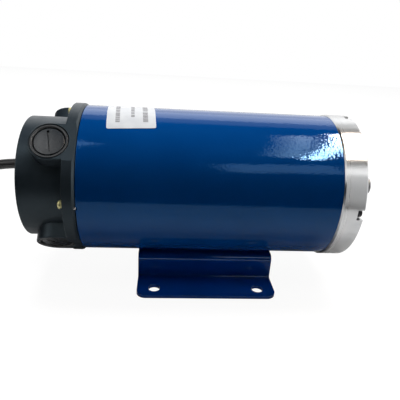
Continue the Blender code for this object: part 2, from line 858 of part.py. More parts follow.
def armature_winding(axis):
    """Copper bars through the slots, joined by a bundle of end turns on each side."""
    low, high = CORE_STATIONS
    bar_inner = 26.5 * MM
    bar_outer = 35.5 * MM
    bar_width = 4.4 * MM
    overlap = 6.0 * MM
    length = high - low + 2 * overlap
    name = "armature_winding"

    def bundle(start, end):
        """Section of the end turns between two stations, start nearer the core."""
        inner = 12.0 * MM
        return [
            (start, inner),
            (start, 37.0 * MM),
            (start + 0.7 * (end - start), 34.5 * MM),
            (end, 27.0 * MM),
            (end, inner),
        ]

    front = bundle(high + GAP, high + WINDING_REACH)[::-1]
    winding = turned_on_shaft(name, front, MIDDLE_ROUND, COPPER, loop=True, parent=axis)
    for k in range(SLOTS):
        a = radians((k + 0.5) * 360 / SLOTS)
        size = (bar_outer - bar_inner, bar_width, length)
        bar = place(f"bar_{k}", block(f"bar_{k}", size), parent=axis)
        reach = (bar_outer + bar_inner) / 2
        spin = Euler((0, pi / 2, 0)).to_matrix() @ Euler((0, 0, a)).to_matrix()
        bar.rotation_euler = spin.to_euler()
        bar.location = Vector((at((low + high) / 2), 0, 0)) + spin @ Vector((reach, 0, 0))
        join(winding, bar)
    back = bundle(low - GAP, low - WINDING_REACH)
    join(winding, turned_on_shaft("back_turns", back, MIDDLE_ROUND, loop=True, parent=axis))


def commutator(axis):
    low = 17.5 * MM
    high = 42.0 * MM
    hub_outer = 14.0 * MM
    outline = []
    pitch = tau / BARS
    half_bar = 0.42
    slot_floor = COMMUTATOR_RADIUS - 1 * MM
    corners = (
        (COMMUTATOR_RADIUS, -half_bar),
        (COMMUTATOR_RADIUS, half_bar),
        (slot_floor, half_bar),
        (slot_floor, 1 - half_bar),
    )
    for k in range(BARS):
        for radius, share in corners:
            a = pitch * (k + share)
            outline.append((radius * cos(a), radius * sin(a)))
    bore = circle(hub_outer + GAP, MIDDLE_ROUND)
    mesh = prism("commutator", [outline, bore], high - low)
    middle = (at((low + high) / 2), 0, 0)
    place("commutator", mesh, COPPER, axis, middle, (0, pi / 2, 0))
    hub = ring(low, high + 2 * MM, 8.3 * MM, hub_outer)
    turned_on_shaft("commutator_hub", hub, SMALL_ROUND, RESIN, loop=True, parent=axis)


def bearings(axis):
    sealed = (
        ("rear_bearing", REAR_BEARING, REAR_BEARING_RADII),
        ("front_bearing", FRONT_BEARING, FRONT_BEARING_RADII),
    )
    for name, (low, high), (bore, groove, lip, rim) in sealed:
        outer = ring(low, high, lip, rim)
        inner = ring(low, high, bore, groove)
        turned_on_shaft(f"{name}_outer", outer, MIDDLE_ROUND, STEEL, loop=True)
        turned_on_shaft(f"{name}_inner", inner, MIDDLE_ROUND, STEEL, loop=True, parent=axis)
    washer = ring(4.8 * MM, REAR_BEARING[0] - GAP, 10.6 * MM, 14.8 * MM)
    turned_on_shaft("wave_washer", washer, MIDDLE_ROUND, STEEL, loop=True)
    seal = ring(SEAL_FLOOR + 0.4 * MM, PILOT_FACE - 0.4 * MM, *SEAL_RADII)
    turned_on_shaft("shaft_seal", seal, MIDDLE_ROUND, SATIN_BLACK, loop=True)
    bearing_circlip()


def bearing_circlip():
    low, high = CLIP_GROOVE
    outer = CLIP_GROOVE_RADIUS - GAP
    inner = 17.6 * MM
    section = ring(low + GAP, high - GAP, inner, outer)
    clip = turned_on_shaft("bearing_circlip", section, MIDDLE_ROUND, STEEL, loop=True)
    opening = block("clip_opening", (6 * MM, 9 * MM, 12 * MM))
    centre = on_axis((low + high) / 2) - Vector((0, 0, (inner + outer) / 2))
    cut(clip, place("clip_opening", opening, location=centre))


def rotor():
    axis = empty("rotor_axis", (0, 0, SHAFT_HEIGHT))
    rotor_shaft(axis)
    armature_core(axis)
    armature_winding(axis)
    commutator(axis)
    bearings(axis)


# Lead


def cable_gland():
    nut = 8.5 * MM
    inner_end = 7.5 * MM
    nut_back = -6.0 * MM
    collar = -7.5 * MM
    tip = -20.0 * MM
    bore = CORD_RADIUS + 0.5 * MM
    profile = (
        (inner_end, GLAND_RADIUS),
        (-GAP, GLAND_RADIUS),
        (-GAP, nut),
        (nut_back, nut),
        (collar, 7.4 * MM),
        (tip, 5.5 * MM),
        (tip, bore),
        (inner_end, bore),
    )
    where = {"location": (at(0), CORD_ACROSS, CORD_HEIGHT), "rotation": (0, pi / 2, 0)}
    turned("cable_gland", profile, SMALL_ROUND, SATIN_BLACK, loop=True, **where)


def power_cable():
    route = [Vector((at(x * MM), CORD_ACROSS, z * MM)) for x, z in CORD_ROUTE]
    points = smooth_through(route, 2 * CORD_RADIUS)
    kept = [p for p in points if p.x > at(CORD_SOLID_ENDS)]
    place("power_cable", tube_curve("power_cable", kept, CORD_RADIUS, 3), CORD_BLACK)


def coil_frame():
    """Middle of the coil on the surface, turned so that local X points where the tail leaves."""
    centre = (at(COIL_CENTRE[0]), COIL_CENTRE[1], 0)
    return Matrix.Translation(centre) @ Matrix.Rotation(radians(TAIL_TURN), 4, "Z")


def cable_coil():
    centre = (at(COIL_CENTRE[0]), COIL_CENTRE[1], 0)
    low = COIL_BASE
    high = COIL_BASE + COIL_TURNS * 2 * CORD_RADIUS
    inner = COIL_RADIUS - CORD_RADIUS
    outer = COIL_RADIUS + CORD_RADIUS
    edge = 1.5 * MM
    profile = (
        (high, outer - edge),
        (high - edge, outer),
        (low + edge, outer),
        (low, outer - edge),
        (low, inner),
        (high, inner),
    )
    turned("cable_coil", profile, 36, CORD_BLACK, loop=True, location=centre)


def coil_ties():
    inner = COIL_RADIUS - CORD_RADIUS - GAP
    outer = COIL_RADIUS + CORD_RADIUS + GAP
    low = TIE_THICKNESS
    high = COIL_BASE + COIL_TURNS * 2 * CORD_RADIUS + GAP

    def loop(grow):
        return [
            (outer + grow, low - grow),
            (outer + grow, high + grow),
            (inner - grow, high + grow),
            (inner - grow, low - grow),
        ]

    stand = Matrix(((1, 0, 0, 0), (0, 0, -1, 0), (0, 1, 0, 0), (0, 0, 0, 1)))
    centre = Matrix.Translation((at(COIL_CENTRE[0]), COIL_CENTRE[1], 0))
    for i, angle in enumerate(TIE_ANGLES, 1):
        name = f"coil_tie_{i}"
        mesh = prism(name, [loop(TIE_THICKNESS), loop(0)], TIE_WIDTH)
        tie = place(name, mesh, SATIN_BLACK)
        tie.matrix_world = centre @ Matrix.Rotation(radians(angle), 4, "Z") @ stand


def tail_point(degrees, height):
    """A place on the tail, which bends inward from the lowest turn on a tighter circle."""
    a = radians(degrees)
    offset = COIL_RADIUS - TAIL_RADIUS
    local = Vector((offset + TAIL_RADIUS * cos(a), TAIL_RADIUS * sin(a), height))
    return coil_frame() @ local


def cable_tail():
    first, last = TAIL_ARC
    count = 5
    steps = [first + (last - first) * i / count for i in range(count + 1)]
    high = COIL_BASE + CORD_RADIUS
    points = [tail_point(a, high) for a in steps]
    place("cable_tail", tube_curve("cable_tail", points, CORD_RADIUS, 3), CORD_BLACK)
    end = tail_point(last, CONNECTOR[2] / 2 + GAP)
    a = radians(last + 90 + TAIL_TURN)
    heading = Vector((cos(a), sin(a), 0))
    shell = place("cable_connector", block("cable_connector", CONNECTOR), SATIN_BLACK)
    shell.location = end + (CONNECTOR[0] / 2 + GAP) * heading
    shell.rotation_euler = (0, 0, atan2(heading.y, heading.x))


def build():
    motor_tube()
    rear_bell()
    front_flange()
    screws()
    foot_bracket()
    foot_welds()
    rating_label()
    seam_pin()
    field_magnets()
    brush_gear()
    rotor()
    cable_gland()
    power_cable()
    cable_coil()
    coil_ties()
    cable_tail()


build()
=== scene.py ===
"""The looks of a foot-mounted brushed DC motor for a pool pump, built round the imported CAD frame.

Frame: +X along the shaft towards the drive end, +Z up, the floor at z = 0. A station is a
distance along the shaft from the rear end. An angle goes round the shaft from the near side
(-Y) towards the top.
"""

import json
from math import atan2, cos, pi, radians, sin, tau

import bmesh
import bpy
from mathutils import Euler, Matrix, Vector


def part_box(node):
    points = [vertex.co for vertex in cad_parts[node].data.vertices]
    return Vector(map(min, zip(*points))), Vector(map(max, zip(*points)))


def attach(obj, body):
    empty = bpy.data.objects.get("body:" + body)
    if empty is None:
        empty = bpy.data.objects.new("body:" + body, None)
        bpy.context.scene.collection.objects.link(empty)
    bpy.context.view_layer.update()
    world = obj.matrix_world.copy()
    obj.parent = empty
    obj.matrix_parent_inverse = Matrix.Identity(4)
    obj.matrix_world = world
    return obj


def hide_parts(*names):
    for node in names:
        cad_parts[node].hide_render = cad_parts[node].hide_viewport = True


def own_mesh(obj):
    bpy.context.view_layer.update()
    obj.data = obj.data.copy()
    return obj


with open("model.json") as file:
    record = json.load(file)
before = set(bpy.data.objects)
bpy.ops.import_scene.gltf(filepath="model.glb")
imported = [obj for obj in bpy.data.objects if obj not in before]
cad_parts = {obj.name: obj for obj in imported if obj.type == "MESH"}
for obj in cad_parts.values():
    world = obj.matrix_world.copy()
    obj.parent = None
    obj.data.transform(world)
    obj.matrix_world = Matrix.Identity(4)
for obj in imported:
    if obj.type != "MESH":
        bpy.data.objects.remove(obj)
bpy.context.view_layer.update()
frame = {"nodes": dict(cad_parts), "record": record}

MM = 0.001


def mm(*values):
    return tuple(value * MM for value in values)


# Places and sizes read from the frame
TUBE_LOW, TUBE_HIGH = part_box("motor_tube")
FOOT_LOW, FOOT_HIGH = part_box("foot_bracket")
LABEL_LOW, LABEL_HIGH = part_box("rating_label")
COIL_LOW, COIL_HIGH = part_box("cable_coil")
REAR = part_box("rear_bell")[0][0]
AXIS = frame["record"]["behaviour"]["joints"][0]["pos_m"][2]
TUBE_RADIUS = (TUBE_HIGH[2] - TUBE_LOW[2]) / 2
TUBE_STATIONS = (TUBE_LOW[0] - REAR, TUBE_HIGH[0] - REAR)
SHAFT_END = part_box("rotor_shaft")[1][0] - REAR

# Label, stuck on a little to the rear of its CAD place and turned
LABEL_SHIFT = 2.4 * MM
LABEL_STATIONS = tuple(end[0] - REAR - LABEL_SHIFT for end in (LABEL_LOW, LABEL_HIGH))
LABEL_ANGLES = (58, 116)
LABEL_MIDDLE = (sum(LABEL_STATIONS) / 2, sum(LABEL_ANGLES) / 2)
LABEL_TWIST = radians(4)

# Housing
TUBE_BORE = 47.5 * MM
BELL_RADIUS = 45.4 * MM
BELL_BORE = 41.4 * MM
RING_RADIUS = 56.4 * MM
RING_BACK = 32.9 * MM
RING_FRONT = 41.3 * MM
SPIGOT_RADIUS = 47.2 * MM
REAR_SPIGOT_END = 47.0 * MM
FRONT_SPIGOT_END = 218.0 * MM
FLANGE_RADIUS = 56.1 * MM
FLANGE_BACK = 224.9 * MM
FLANGE_FACE = 241.6 * MM
PILOT_FACE = 244.6 * MM
PILOT_RADIUS = 30.0 * MM
THREAD_CIRCLE = 38.5 * MM
FRONT_BEARING_SEAT = 20.3 * MM
SCREW_CIRCLE = 50.9 * MM
SCREW_ANGLES = tuple(quarter - 2.3 for quarter in (0, 90, 180, 270))
SCREW_HOLE = 2.2 * MM
PIN_ANGLE = -3.3
PIN_HOLE = 1.2 * MM

# Brush gear, with heights over the shaft's axis
BRUSH_STATION = 23.2 * MM
BOSS_ANGLES = (45, 135, 225, 315)
BOSS_RADIUS = 13.9 * MM
BOSS_FACE = 54.3 * MM
RING_FLAT = 54.6 * MM
WELL_RADIUS = 12.9 * MM
WELL_FLOOR = 45.5 * MM
HOLDER_RADIUS = 8.6 * MM
HOLDER_END = 22.5 * MM
CAP_RADIUS = 10.2 * MM
CAP_TOP = 53.7 * MM
CAP_BOTTOM = 48.5 * MM
CAP_SLOT_ANGLES = (101, 20, 65, -45)
BRUSH_BACK = 36.2 * MM

# Foot
FOOT_THICKNESS = 2.8 * MM
FOOT_WEB_FACE = 23.1 * MM
FOOT_TOP_BEND = 4.6 * MM
FOOT_LOW_BEND = 2.0 * MM
FOOT_CORNER = 7.0 * MM
FOOT_HOLE = 4.6 * MM
FOOT_HOLE_SPACING = (81.1 * MM, 79.8 * MM)

# Lead, with the stations and heights of its free drop in millimetres
CORD_RADIUS = 4.1 * MM
CORD_ACROSS = 27.0 * MM
GLAND_RISE = 0.2 * MM
CORD_ROUTE = (
    (-20.0, 78.1),
    (-29.0, 77.4),
    (-38.0, 76.0),
    (-50.0, 72.6),
    (-64.0, 66.2),
    (-77.0, 57.0),
    (-89.0, 47.2),
    (-102.0, 38.6),
    (-117.0, 32.6),
    (-133.0, 30.2),
)
COIL_TURNS = 4
COIL_RADIUS = (COIL_HIGH[0] - COIL_LOW[0]) / 2 - CORD_RADIUS
COIL_CENTRE = ((COIL_LOW[0] + COIL_HIGH[0]) / 2, (COIL_LOW[1] + COIL_HIGH[1]) / 2)
COIL_BASE = COIL_LOW[2]
STEP_START = 10
STEP_END = 80
TAIL_TURN = 10
TAIL_RADIUS = 33.0 * MM
TAIL_END = 124
CONNECTOR = mm(24.0, 13.0, 9.0)


# Places


def at(station):
    return REAR + station


def outward(angle):
    return Vector((0, -cos(radians(angle)), sin(radians(angle))))


def shift(x, y, z):
    return Matrix.Translation((x, y, z))


def spin(angle):
    return Matrix.Rotation(angle, 4, "Z")


def on_shaft(station=0.0):
    """Local Z runs along the shaft from this station, and local X points down."""
    return shift(at(station), 0, AXIS) @ Matrix.Rotation(pi / 2, 4, "Y")


def facing(station, angle):
    """Local Z points outward at this angle from the shaft's axis, and local X along the shaft."""
    turn = Matrix.Rotation(radians(90 - angle), 4, "X")
    return shift(at(station), 0, AXIS) @ turn


def along_shaft(angle, radius, station=0.0):
    """As on_shaft, on a line beside the shaft."""
    return Matrix.Translation(radius * outward(angle)) @ on_shaft(station)


# Camera

LENS = 38.12
CAMERA_PLACE = (-0.03426, -0.31864, 0.19301)
CAMERA_TURN = (67.5441, -3.4054, -3.9737)


def make_camera():
    data = bpy.data.cameras.new("camera")
    camera = bpy.data.objects.new("camera", data)
    bpy.context.scene.collection.objects.link(camera)
    data.lens = LENS
    data.sensor_width = 36.0
    data.dof.use_dof = False
    turn = Euler([radians(angle) for angle in CAMERA_TURN]).to_matrix().to_4x4()
    camera.matrix_world = Matrix.Translation(CAMERA_PLACE) @ turn
    bpy.context.scene.camera = camera


# Mesh tools


def new_object(name, data, where=None):
    obj = bpy.data.objects.new(name, data)
    bpy.context.scene.collection.objects.link(obj)
    if where is not None:
        obj.data.transform(where)
    return obj


def from_bmesh(name, build, where=None):
    bm = bmesh.new()
    build(bm)
    bmesh.ops.recalc_face_normals(bm, faces=bm.faces)
    mesh = bpy.data.meshes.new(name)
    bm.to_mesh(mesh)
    bm.free()
    return new_object(name, mesh, where)


def applied(obj):
    """Turns the object's modifiers into its mesh."""
    depsgraph = bpy.context.evaluated_depsgraph_get()
    mesh = bpy.data.meshes.new_from_object(obj.evaluated_get(depsgraph))
    obj.modifiers.clear()
    obj.data = mesh
    return obj


def smooth(obj, angle=32):
    """Smooth shading that leaves broad faces true and turns only at their rounded edges."""
    obj.data.shade_smooth()
    obj.data.set_sharp_from_angle(angle=radians(angle))
    normals = obj.modifiers.new("Normals", "WEIGHTED_NORMAL")
    normals.keep_sharp = True
    return applied(obj)


def add_bevel(obj, width, segments, angle=40):
    bevel = obj.modifiers.new("Edges", "BEVEL")
    bevel.width = width
    bevel.segments = segments
    bevel.limit_method = "ANGLE"
    bevel.angle_limit = radians(angle)


def bevelled(obj, width, segments=3, angle=40):
    add_bevel(obj, width, segments, angle)
    return applied(obj)


def combined(obj, others, operation):
    """obj with the other objects cut from it or joined to it. The others are used up."""
    for other in others:
        boolean = obj.modifiers.new("Combine", "BOOLEAN")
        boolean.operation = operation
        boolean.solver = "EXACT"
        boolean.object = other
    applied(obj)
    for other in others:
        bpy.data.objects.remove(other, do_unlink=True)
    return obj


def rounded(points, closed=False, steps=4):
    """Profile points as (height, radius, fillet), with each corner turned into an arc."""
    count = len(points)
    result = []
    for i, (h, r, fillet) in enumerate(points):
        if fillet <= 0 or (not closed and i in (0, count - 1)):
            result.append((h, r))
            continue
        here = Vector((h, r))
        before = Vector(points[i - 1][:2]) - here
        after = Vector(points[(i + 1) % count][:2]) - here
        reach = min(fillet, before.length / 2, after.length / 2)
        start = here + before.normalized() * reach
        stop = here + after.normalized() * reach
        pull = sin(before.angle(after) / 2)
        for k in range(steps + 1):
            t = k / steps
            weights = ((1 - t) ** 2, 2 * t * (1 - t) * pull, t * t)
            point = weights[0] * start + weights[1] * here + weights[2] * stop
            point /= sum(weights)
            result.append((point.x, point.y))
    return result


def lathe(name, points, sides, closed=False, where=None, start=0.0, steps=4):
    """A turned solid round local Z, from (height, radius, fillet) points."""
    profile = rounded(points, closed, steps)

    def build(bm):
        rings = []
        for h, r in profile:
            if r < 1e-7:
                rings.append([bm.verts.new((0, 0, h))])
                continue
            angles = [start + tau * k / sides for k in range(sides)]
            rings.append([bm.verts.new((r * cos(a), r * sin(a), h)) for a in angles])
        pairs = list(zip(rings, rings[1:]))
        if closed:
            pairs.append((rings[-1], rings[0]))
        for low, high in pairs:
            for k in range(sides):
                n = (k + 1) % sides
                ends = (low, k), (low, n), (high, n), (high, k)
                corners = list(dict.fromkeys(ring[j % len(ring)] for ring, j in ends))
                if len(corners) > 2:
                    bm.faces.new(corners)

    return from_bmesh(name, build, where)


def edged(name, build, edge, where):
    obj = from_bmesh(name, build)
    if edge:
        bevelled(obj, edge)
    if where is not None:
        obj.data.transform(where)
    return obj


def bridge(bm, a, b):
    """Faces between two rings of corners."""
    for k in range(len(a)):
        n = (k + 1) % len(a)
        bm.faces.new((a[k], a[n], b[n], b[k]))


def block(name, size, where=None, edge=0.0):
    def build(bm):
        bmesh.ops.create_cube(bm, size=1.0, matrix=Matrix.Diagonal((*size, 1)))

    return edged(name, build, edge, where)


def rod(name, radius, length, sides, where=None):
    def build(bm):
        bmesh.ops.create_cone(
            bm, cap_ends=True, segments=sides, radius1=radius, radius2=radius, depth=length
        )

    return from_bmesh(name, build, where)


def prism(name, outline, low, high, edge=0.0, where=None):
    """A flat outline raised from one height to another, with rounded rims if asked."""

    def build(bm):
        base = bm.faces.new([bm.verts.new((x, y, low)) for x, y in outline])
        made = bmesh.ops.extrude_face_region(bm, geom=[base])
        for v in made["geom"]:
            if isinstance(v, bmesh.types.BMVert):
                v.co.z = high

    return edged(name, build, edge, where)


def rounded_rectangle(size_x, size_y, corner, steps=8):
    outline = []
    for x, y, start in ((1, 1, 0), (-1, 1, 90), (-1, -1, 180), (1, -1, 270)):
        centre = (x * (size_x / 2 - corner), y * (size_y / 2 - corner))
        for k in range(steps + 1):
            a = radians(start + 90 * k / steps)
            outline.append((centre[0] + corner * cos(a), centre[1] + corner * sin(a)))
    return outline


def smooth_through(points, spacing):
    """Even points on a Catmull-Rom curve through the given ones."""
    ends = [2 * points[0] - points[1], *points, 2 * points[-1] - points[-2]]
    fine = []
    for a, b, c, d in zip(ends, ends[1:], ends[2:], ends[3:]):
        for i in range(24):
            t = i / 24
            square = (2 * a - 5 * b + 4 * c - d) * t * t
            cube = (3 * b - a - 3 * c + d) * t * t * t
            fine.append(0.5 * (2 * b + (c - a) * t + square + cube))
    fine.append(points[-1])
    kept = [fine[0]]
    for point in fine[1:]:
        if (point - kept[-1]).length >= spacing:
            kept.append(point)
    return kept


def tube_curve(name, points, radius, resolution=6):
    curve = bpy.data.curves.new(name, "CURVE")
    curve.dimensions = "3D"
    curve.bevel_depth = radius
    curve.bevel_resolution = resolution
    curve.use_fill_caps = True
    spline = curve.splines.new("POLY")
    spline.points.add(len(points) - 1)
    for point, place_of in zip(spline.points, points):
        point.co = (*place_of, 1)
    spline.use_smooth = True
    return new_object(name, curve)


def keep(obj, body, slot, look, *nodes):
    """Finishes a piece: its material, the body it rides and the nodes it stands for. The slot
    argument is not used.
    """
    obj.data.materials.clear()
    obj.data.materials.append(look)
    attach(obj, body)
    if nodes:
        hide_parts(*nodes)
    return obj


# Materials


class Look:
    """A Principled material with its colour, roughness and bump made by noise."""

    def __init__(self, name, roughness=0.4, metallic=0.0, **sockets):
        self.material = bpy.data.materials.new(name)
        self.material.use_nodes = True
        self.tree = self.material.node_tree
        self.shader = self.tree.nodes["Principled BSDF"]
        self.shader.inputs["Roughness"].default_value = roughness
        self.shader.inputs["Metallic"].default_value = metallic
        for socket, value in sockets.items():
            self.shader.inputs[socket.replace("_", " ")].default_value = value
        self.place = self.node("ShaderNodeTexCoord").outputs["Object"]
        self.normal = None

    def node(self, kind, **values):
        made = self.tree.nodes.new(kind)
        for key, value in values.items():
            setattr(made, key, value)
        return made

    def link(self, source, target):
        self.tree.links.new(source, target)

    def noise(self, scale, detail=3.0, stretch=(1, 1, 1), source=None, roughness=0.5):
        mapping = self.node("ShaderNodeMapping")
        mapping.inputs["Scale"].default_value = stretch
        self.link(source or self.place, mapping.inputs["Vector"])
        made = self.node("ShaderNodeTexNoise")
        made.inputs["Scale"].default_value = scale
        made.inputs["Detail"].default_value = detail
        made.inputs["Roughness"].default_value = roughness
        self.link(mapping.outputs["Vector"], made.inputs["Vector"])
        return made.outputs["Fac"]

    def colour(self, source, dark, light):
        made = self.node("ShaderNodeValToRGB")
        elements = made.color_ramp.elements
        elements[0].position, elements[0].color = 0.35, (*dark, 1)
        elements[1].position, elements[1].color = 0.65, (*light, 1)
        self.link(source, made.inputs["Fac"])
        self.link(made.outputs["Color"], self.shader.inputs["Base Color"])

    def rough(self, source, low, high):
        made = self.node("ShaderNodeMapRange")
        made.inputs["From Min"].default_value = 0.3
        made.inputs["From Max"].default_value = 0.7
        made.inputs["To Min"].default_value = low
        made.inputs["To Max"].default_value = high
        self.link(source, made.inputs["Value"])
        self.link(made.outputs["Result"], self.shader.inputs["Roughness"])

    def bump(self, source, strength, distance):
        made = self.node("ShaderNodeBump")
        made.inputs["Strength"].default_value = strength
        made.inputs["Distance"].default_value = distance
        self.link(source, made.inputs["Height"])
        if self.normal:
            self.link(self.normal, made.inputs["Normal"])
        self.normal = made.outputs["Normal"]
        self.link(self.normal, self.shader.inputs["Normal"])

    def math(self, operation, a, b=None):
        made = self.node("ShaderNodeMath", operation=operation)
        for socket, value in zip(made.inputs, (a, b)):
            if value is None:
                continue
            if isinstance(value, (int, float)):
                socket.default_value = value
            else:
                self.link(value, socket)
        return made.outputs["Value"]

    def round_shaft(self):
        """Coordinates (distance from the shaft's axis, place along it), for turned marks."""
        parts = self.node("ShaderNodeSeparateXYZ")
        self.link(self.place, parts.inputs["Vector"])
        height = self.math("SUBTRACT", parts.outputs["Z"], AXIS)
        squares = self.math("MULTIPLY", parts.outputs["Y"], parts.outputs["Y"])
        squares = self.math("ADD", squares, self.math("MULTIPLY", height, height))
        radius = self.math("SQRT", squares)
        joined = self.node("ShaderNodeCombineXYZ")
        self.link(radius, joined.inputs["X"])
        self.link(parts.outputs["X"], joined.inputs["Y"])
        return joined.outputs["Vector"]


def mottled(name, roughness, colour, bump, rough=None, metallic=0.0):
    """A look whose colour, gloss and height vary. Each starts with its noise's scale and detail."""
    look = Look(name, roughness, metallic)
    for finish, values in ((look.colour, colour), (look.rough, rough), (look.bump, bump)):
        if values:
            finish(look.noise(*values[:2]), *values[2:])
    return look.material


def blue_enamel(name, dark, light, coat):
    """Glossy enamel with a faint orange peel."""
    tint = (0.24, 0.56, 1.0, 1.0)
    look = Look(name, 0.06, Specular_Tint=tint, Coat_Weight=coat, Coat_Roughness=0.06)
    look.colour(look.noise(30, 2), dark, light)
    look.rough(look.noise(45, 3), 0.04, 0.06)
    look.bump(look.noise(620, 1), 0.15, 0.0004)
    return look.material


def blue_paint():
    return blue_enamel("blue_enamel", (0.0002, 0.036, 0.155), (0.0004, 0.040, 0.170), 0.0)


# The foot's enamel is the tube's blue made brighter and bluer: painted light, standing in for the
# fill that the foot lacks in the shade under the tube.
def lightened_foot_paint():
    return blue_enamel("foot_enamel_painted_light", (0.0002, 0.048, 0.28), (0.0004, 0.053, 0.31), 0.8)


def black_casting():
    look = Look("black_casting", 0.38, IOR=1.36, Specular_Tint=(0.7, 0.9, 1.0, 1.0))
    look.colour(look.noise(60, 4), (0.011, 0.016, 0.021), (0.016, 0.022, 0.028))
    look.rough(look.noise(220, 3), 0.32, 0.42)
    look.bump(look.noise(1500, 3), 0.14, 0.0003)
    look.bump(look.noise(90, 2), 0.05, 0.0010)
    return look.material


def turned_aluminium():
    look = Look("turned_aluminium", 0.3, 1.0, Anisotropic=1.0, Anisotropic_Rotation=0.25)
    tangent = look.node("ShaderNodeTangent", direction_type="RADIAL", axis="X")
    look.link(tangent.outputs["Tangent"], look.shader.inputs["Tangent"])
    rings = look.noise(1.0, 4, (1400, 900, 1), look.round_shaft(), 0.6)
    look.colour(look.noise(40, 3), (0.55, 0.56, 0.57), (0.62, 0.62, 0.62))
    look.rough(rings, 0.26, 0.34)
    look.bump(rings, 0.08, 0.00005)
    return look.material


def ground_steel(name="ground_steel", tone=0.56):
    look = Look(name, 0.28, 1.0)
    rings = look.noise(1.0, 3, (3000, 2200, 1), look.round_shaft(), 0.65)
    look.colour(look.noise(90, 3), (tone - 0.06,) * 3, (tone + 0.03, tone + 0.04, tone + 0.05))
    look.rough(rings, 0.2, 0.34)
    look.bump(rings, 0.12, 0.00006)
    return look.material


def yellow_zinc():
    colour = (420, 3, (0.52, 0.48, 0.20), (0.78, 0.72, 0.38))
    return mottled("yellow_zinc", 0.36, colour, (2600, 2, 0.1, 0.00008), (900, 2, 0.30, 0.42), 0.55)


def black_oxide():
    colour = (500, 3, (0.020, 0.020, 0.023), (0.045, 0.045, 0.05))
    return mottled("black_oxide", 0.36, colour, (2200, 2, 0.12, 0.0001), (800, 2, 0.28, 0.42), 0.85)


def moulding(name, dark, light, low, high):
    grain = (1400, 2, 0.12, 0.0002)
    return mottled(name, (low + high) / 2, (70, 3, dark, light), grain, (260, 3, low, high))


def cap_plastic():
    return moulding("cap_plastic", (0.011, 0.014, 0.017), (0.017, 0.021, 0.025), 0.22, 0.32)


def dark_plastic():
    return moulding("dark_plastic", (0.013, 0.015, 0.017), (0.022, 0.024, 0.026), 0.30, 0.40)


def cord_sheath():
    colour = (55, 3, (0.010, 0.010, 0.011), (0.019, 0.019, 0.020))
    return mottled("cord_sheath", 0.34, colour, (700, 2, 0.08, 0.0003), (180, 3, 0.28, 0.42))


def label_film():
    colour = (120, 3, (0.42, 0.43, 0.45), (0.47, 0.48, 0.49))
    return mottled("label_film", 0.33, colour, (500, 2, 0.05, 0.0002), (300, 2, 0.28, 0.38))


def label_ink():
    colour = (900, 2, (0.15, 0.15, 0.16), (0.24, 0.24, 0.25))
    return mottled("label_ink", 0.45, colour, (1500, 2, 0.05, 0.0001))


def ferrite():
    colour = (240, 4, (0.035, 0.035, 0.038), (0.065, 0.065, 0.07))
    return mottled("ferrite", 0.6, colour, (1300, 3, 0.2, 0.0002))


def copper(name="copper", wires=False):
    look = Look(name, 0.32, 1.0)
    look.colour(look.noise(160, 3), (0.62, 0.28, 0.13), (0.80, 0.42, 0.22))
    look.rough(look.noise(500, 2), 0.25, 0.4)
    if wires:
        look.bump(look.noise(1.0, 1, (900, 500, 500)), 0.6, 0.0006)
    else:
        look.bump(look.noise(1.0, 2, (2400, 1200, 1), look.round_shaft()), 0.15, 0.0001)
    return look.material


def laminated_steel():
    look = Look("laminated_steel", 0.42, 1.0)
    layers = look.noise(1.0, 1, (1, 1900, 1), look.round_shaft())
    look.colour(layers, (0.22, 0.22, 0.23), (0.42, 0.42, 0.43))
    look.bump(layers, 0.35, 0.0002)
    return look.material


def carbon():
    colour = (900, 3, (0.025, 0.025, 0.027), (0.055, 0.055, 0.058))
    return mottled("carbon", 0.5, colour, (2600, 2, 0.15, 0.0001))


def resin():
    colour = (260, 3, (0.20, 0.065, 0.03), (0.32, 0.11, 0.05))
    return mottled("resin", 0.48, colour, (1400, 2, 0.1, 0.0001))


# Lead


def coil_point(degrees, height):
    a = radians(degrees)
    return Vector(
        (COIL_CENTRE[0] + COIL_RADIUS * cos(a), COIL_CENTRE[1] + COIL_RADIUS * sin(a), height)
    )


def level_drop(degrees):
    """How many turns the coil has come down by this angle, a smooth step in each later turn."""
    drop = 0.0
    for turn in range(1, COIL_TURNS):
        t = (degrees - 360 * turn - STEP_START) / (STEP_END - STEP_START)
        t = min(1.0, max(0.0, t))
        drop += t * t * (3 - 2 * t)
    return drop


def tail_point(degrees, height):
    a = radians(degrees)
    offset = COIL_RADIUS - TAIL_RADIUS
    local = Vector((offset + TAIL_RADIUS * cos(a), TAIL_RADIUS * sin(a), height))
    centre = shift(*COIL_CENTRE, 0) @ spin(radians(TAIL_TURN))
    return centre @ local


def lead_points():
    """The whole lead: the free drop, the coil's turns and the tail to the connector."""
    route = [Vector((at(x * MM), CORD_ACROSS, z * MM)) for x, z in CORD_ROUTE]
    points = smooth_through(route, CORD_RADIUS)
    diameter = 2 * CORD_RADIUS
    low = COIL_BASE + CORD_RADIUS
    top = low + (COIL_TURNS - 1) * diameter
    start = 90
    stop = 360 * COIL_TURNS + TAIL_TURN
    step = 6
    join_height = points[-1].z
    for degrees in range(start + step, stop, step):
        settle = min(1.0, (degrees - start) / 60)
        height = top - diameter * level_drop(degrees)
        height += (join_height - top) * (1 - settle)
        points.append(coil_point(degrees, height))
    for degrees in range(0, TAIL_END, step):
        points.append(tail_point(degrees, low))
    points.append(tail_point(TAIL_END, low))
    return points


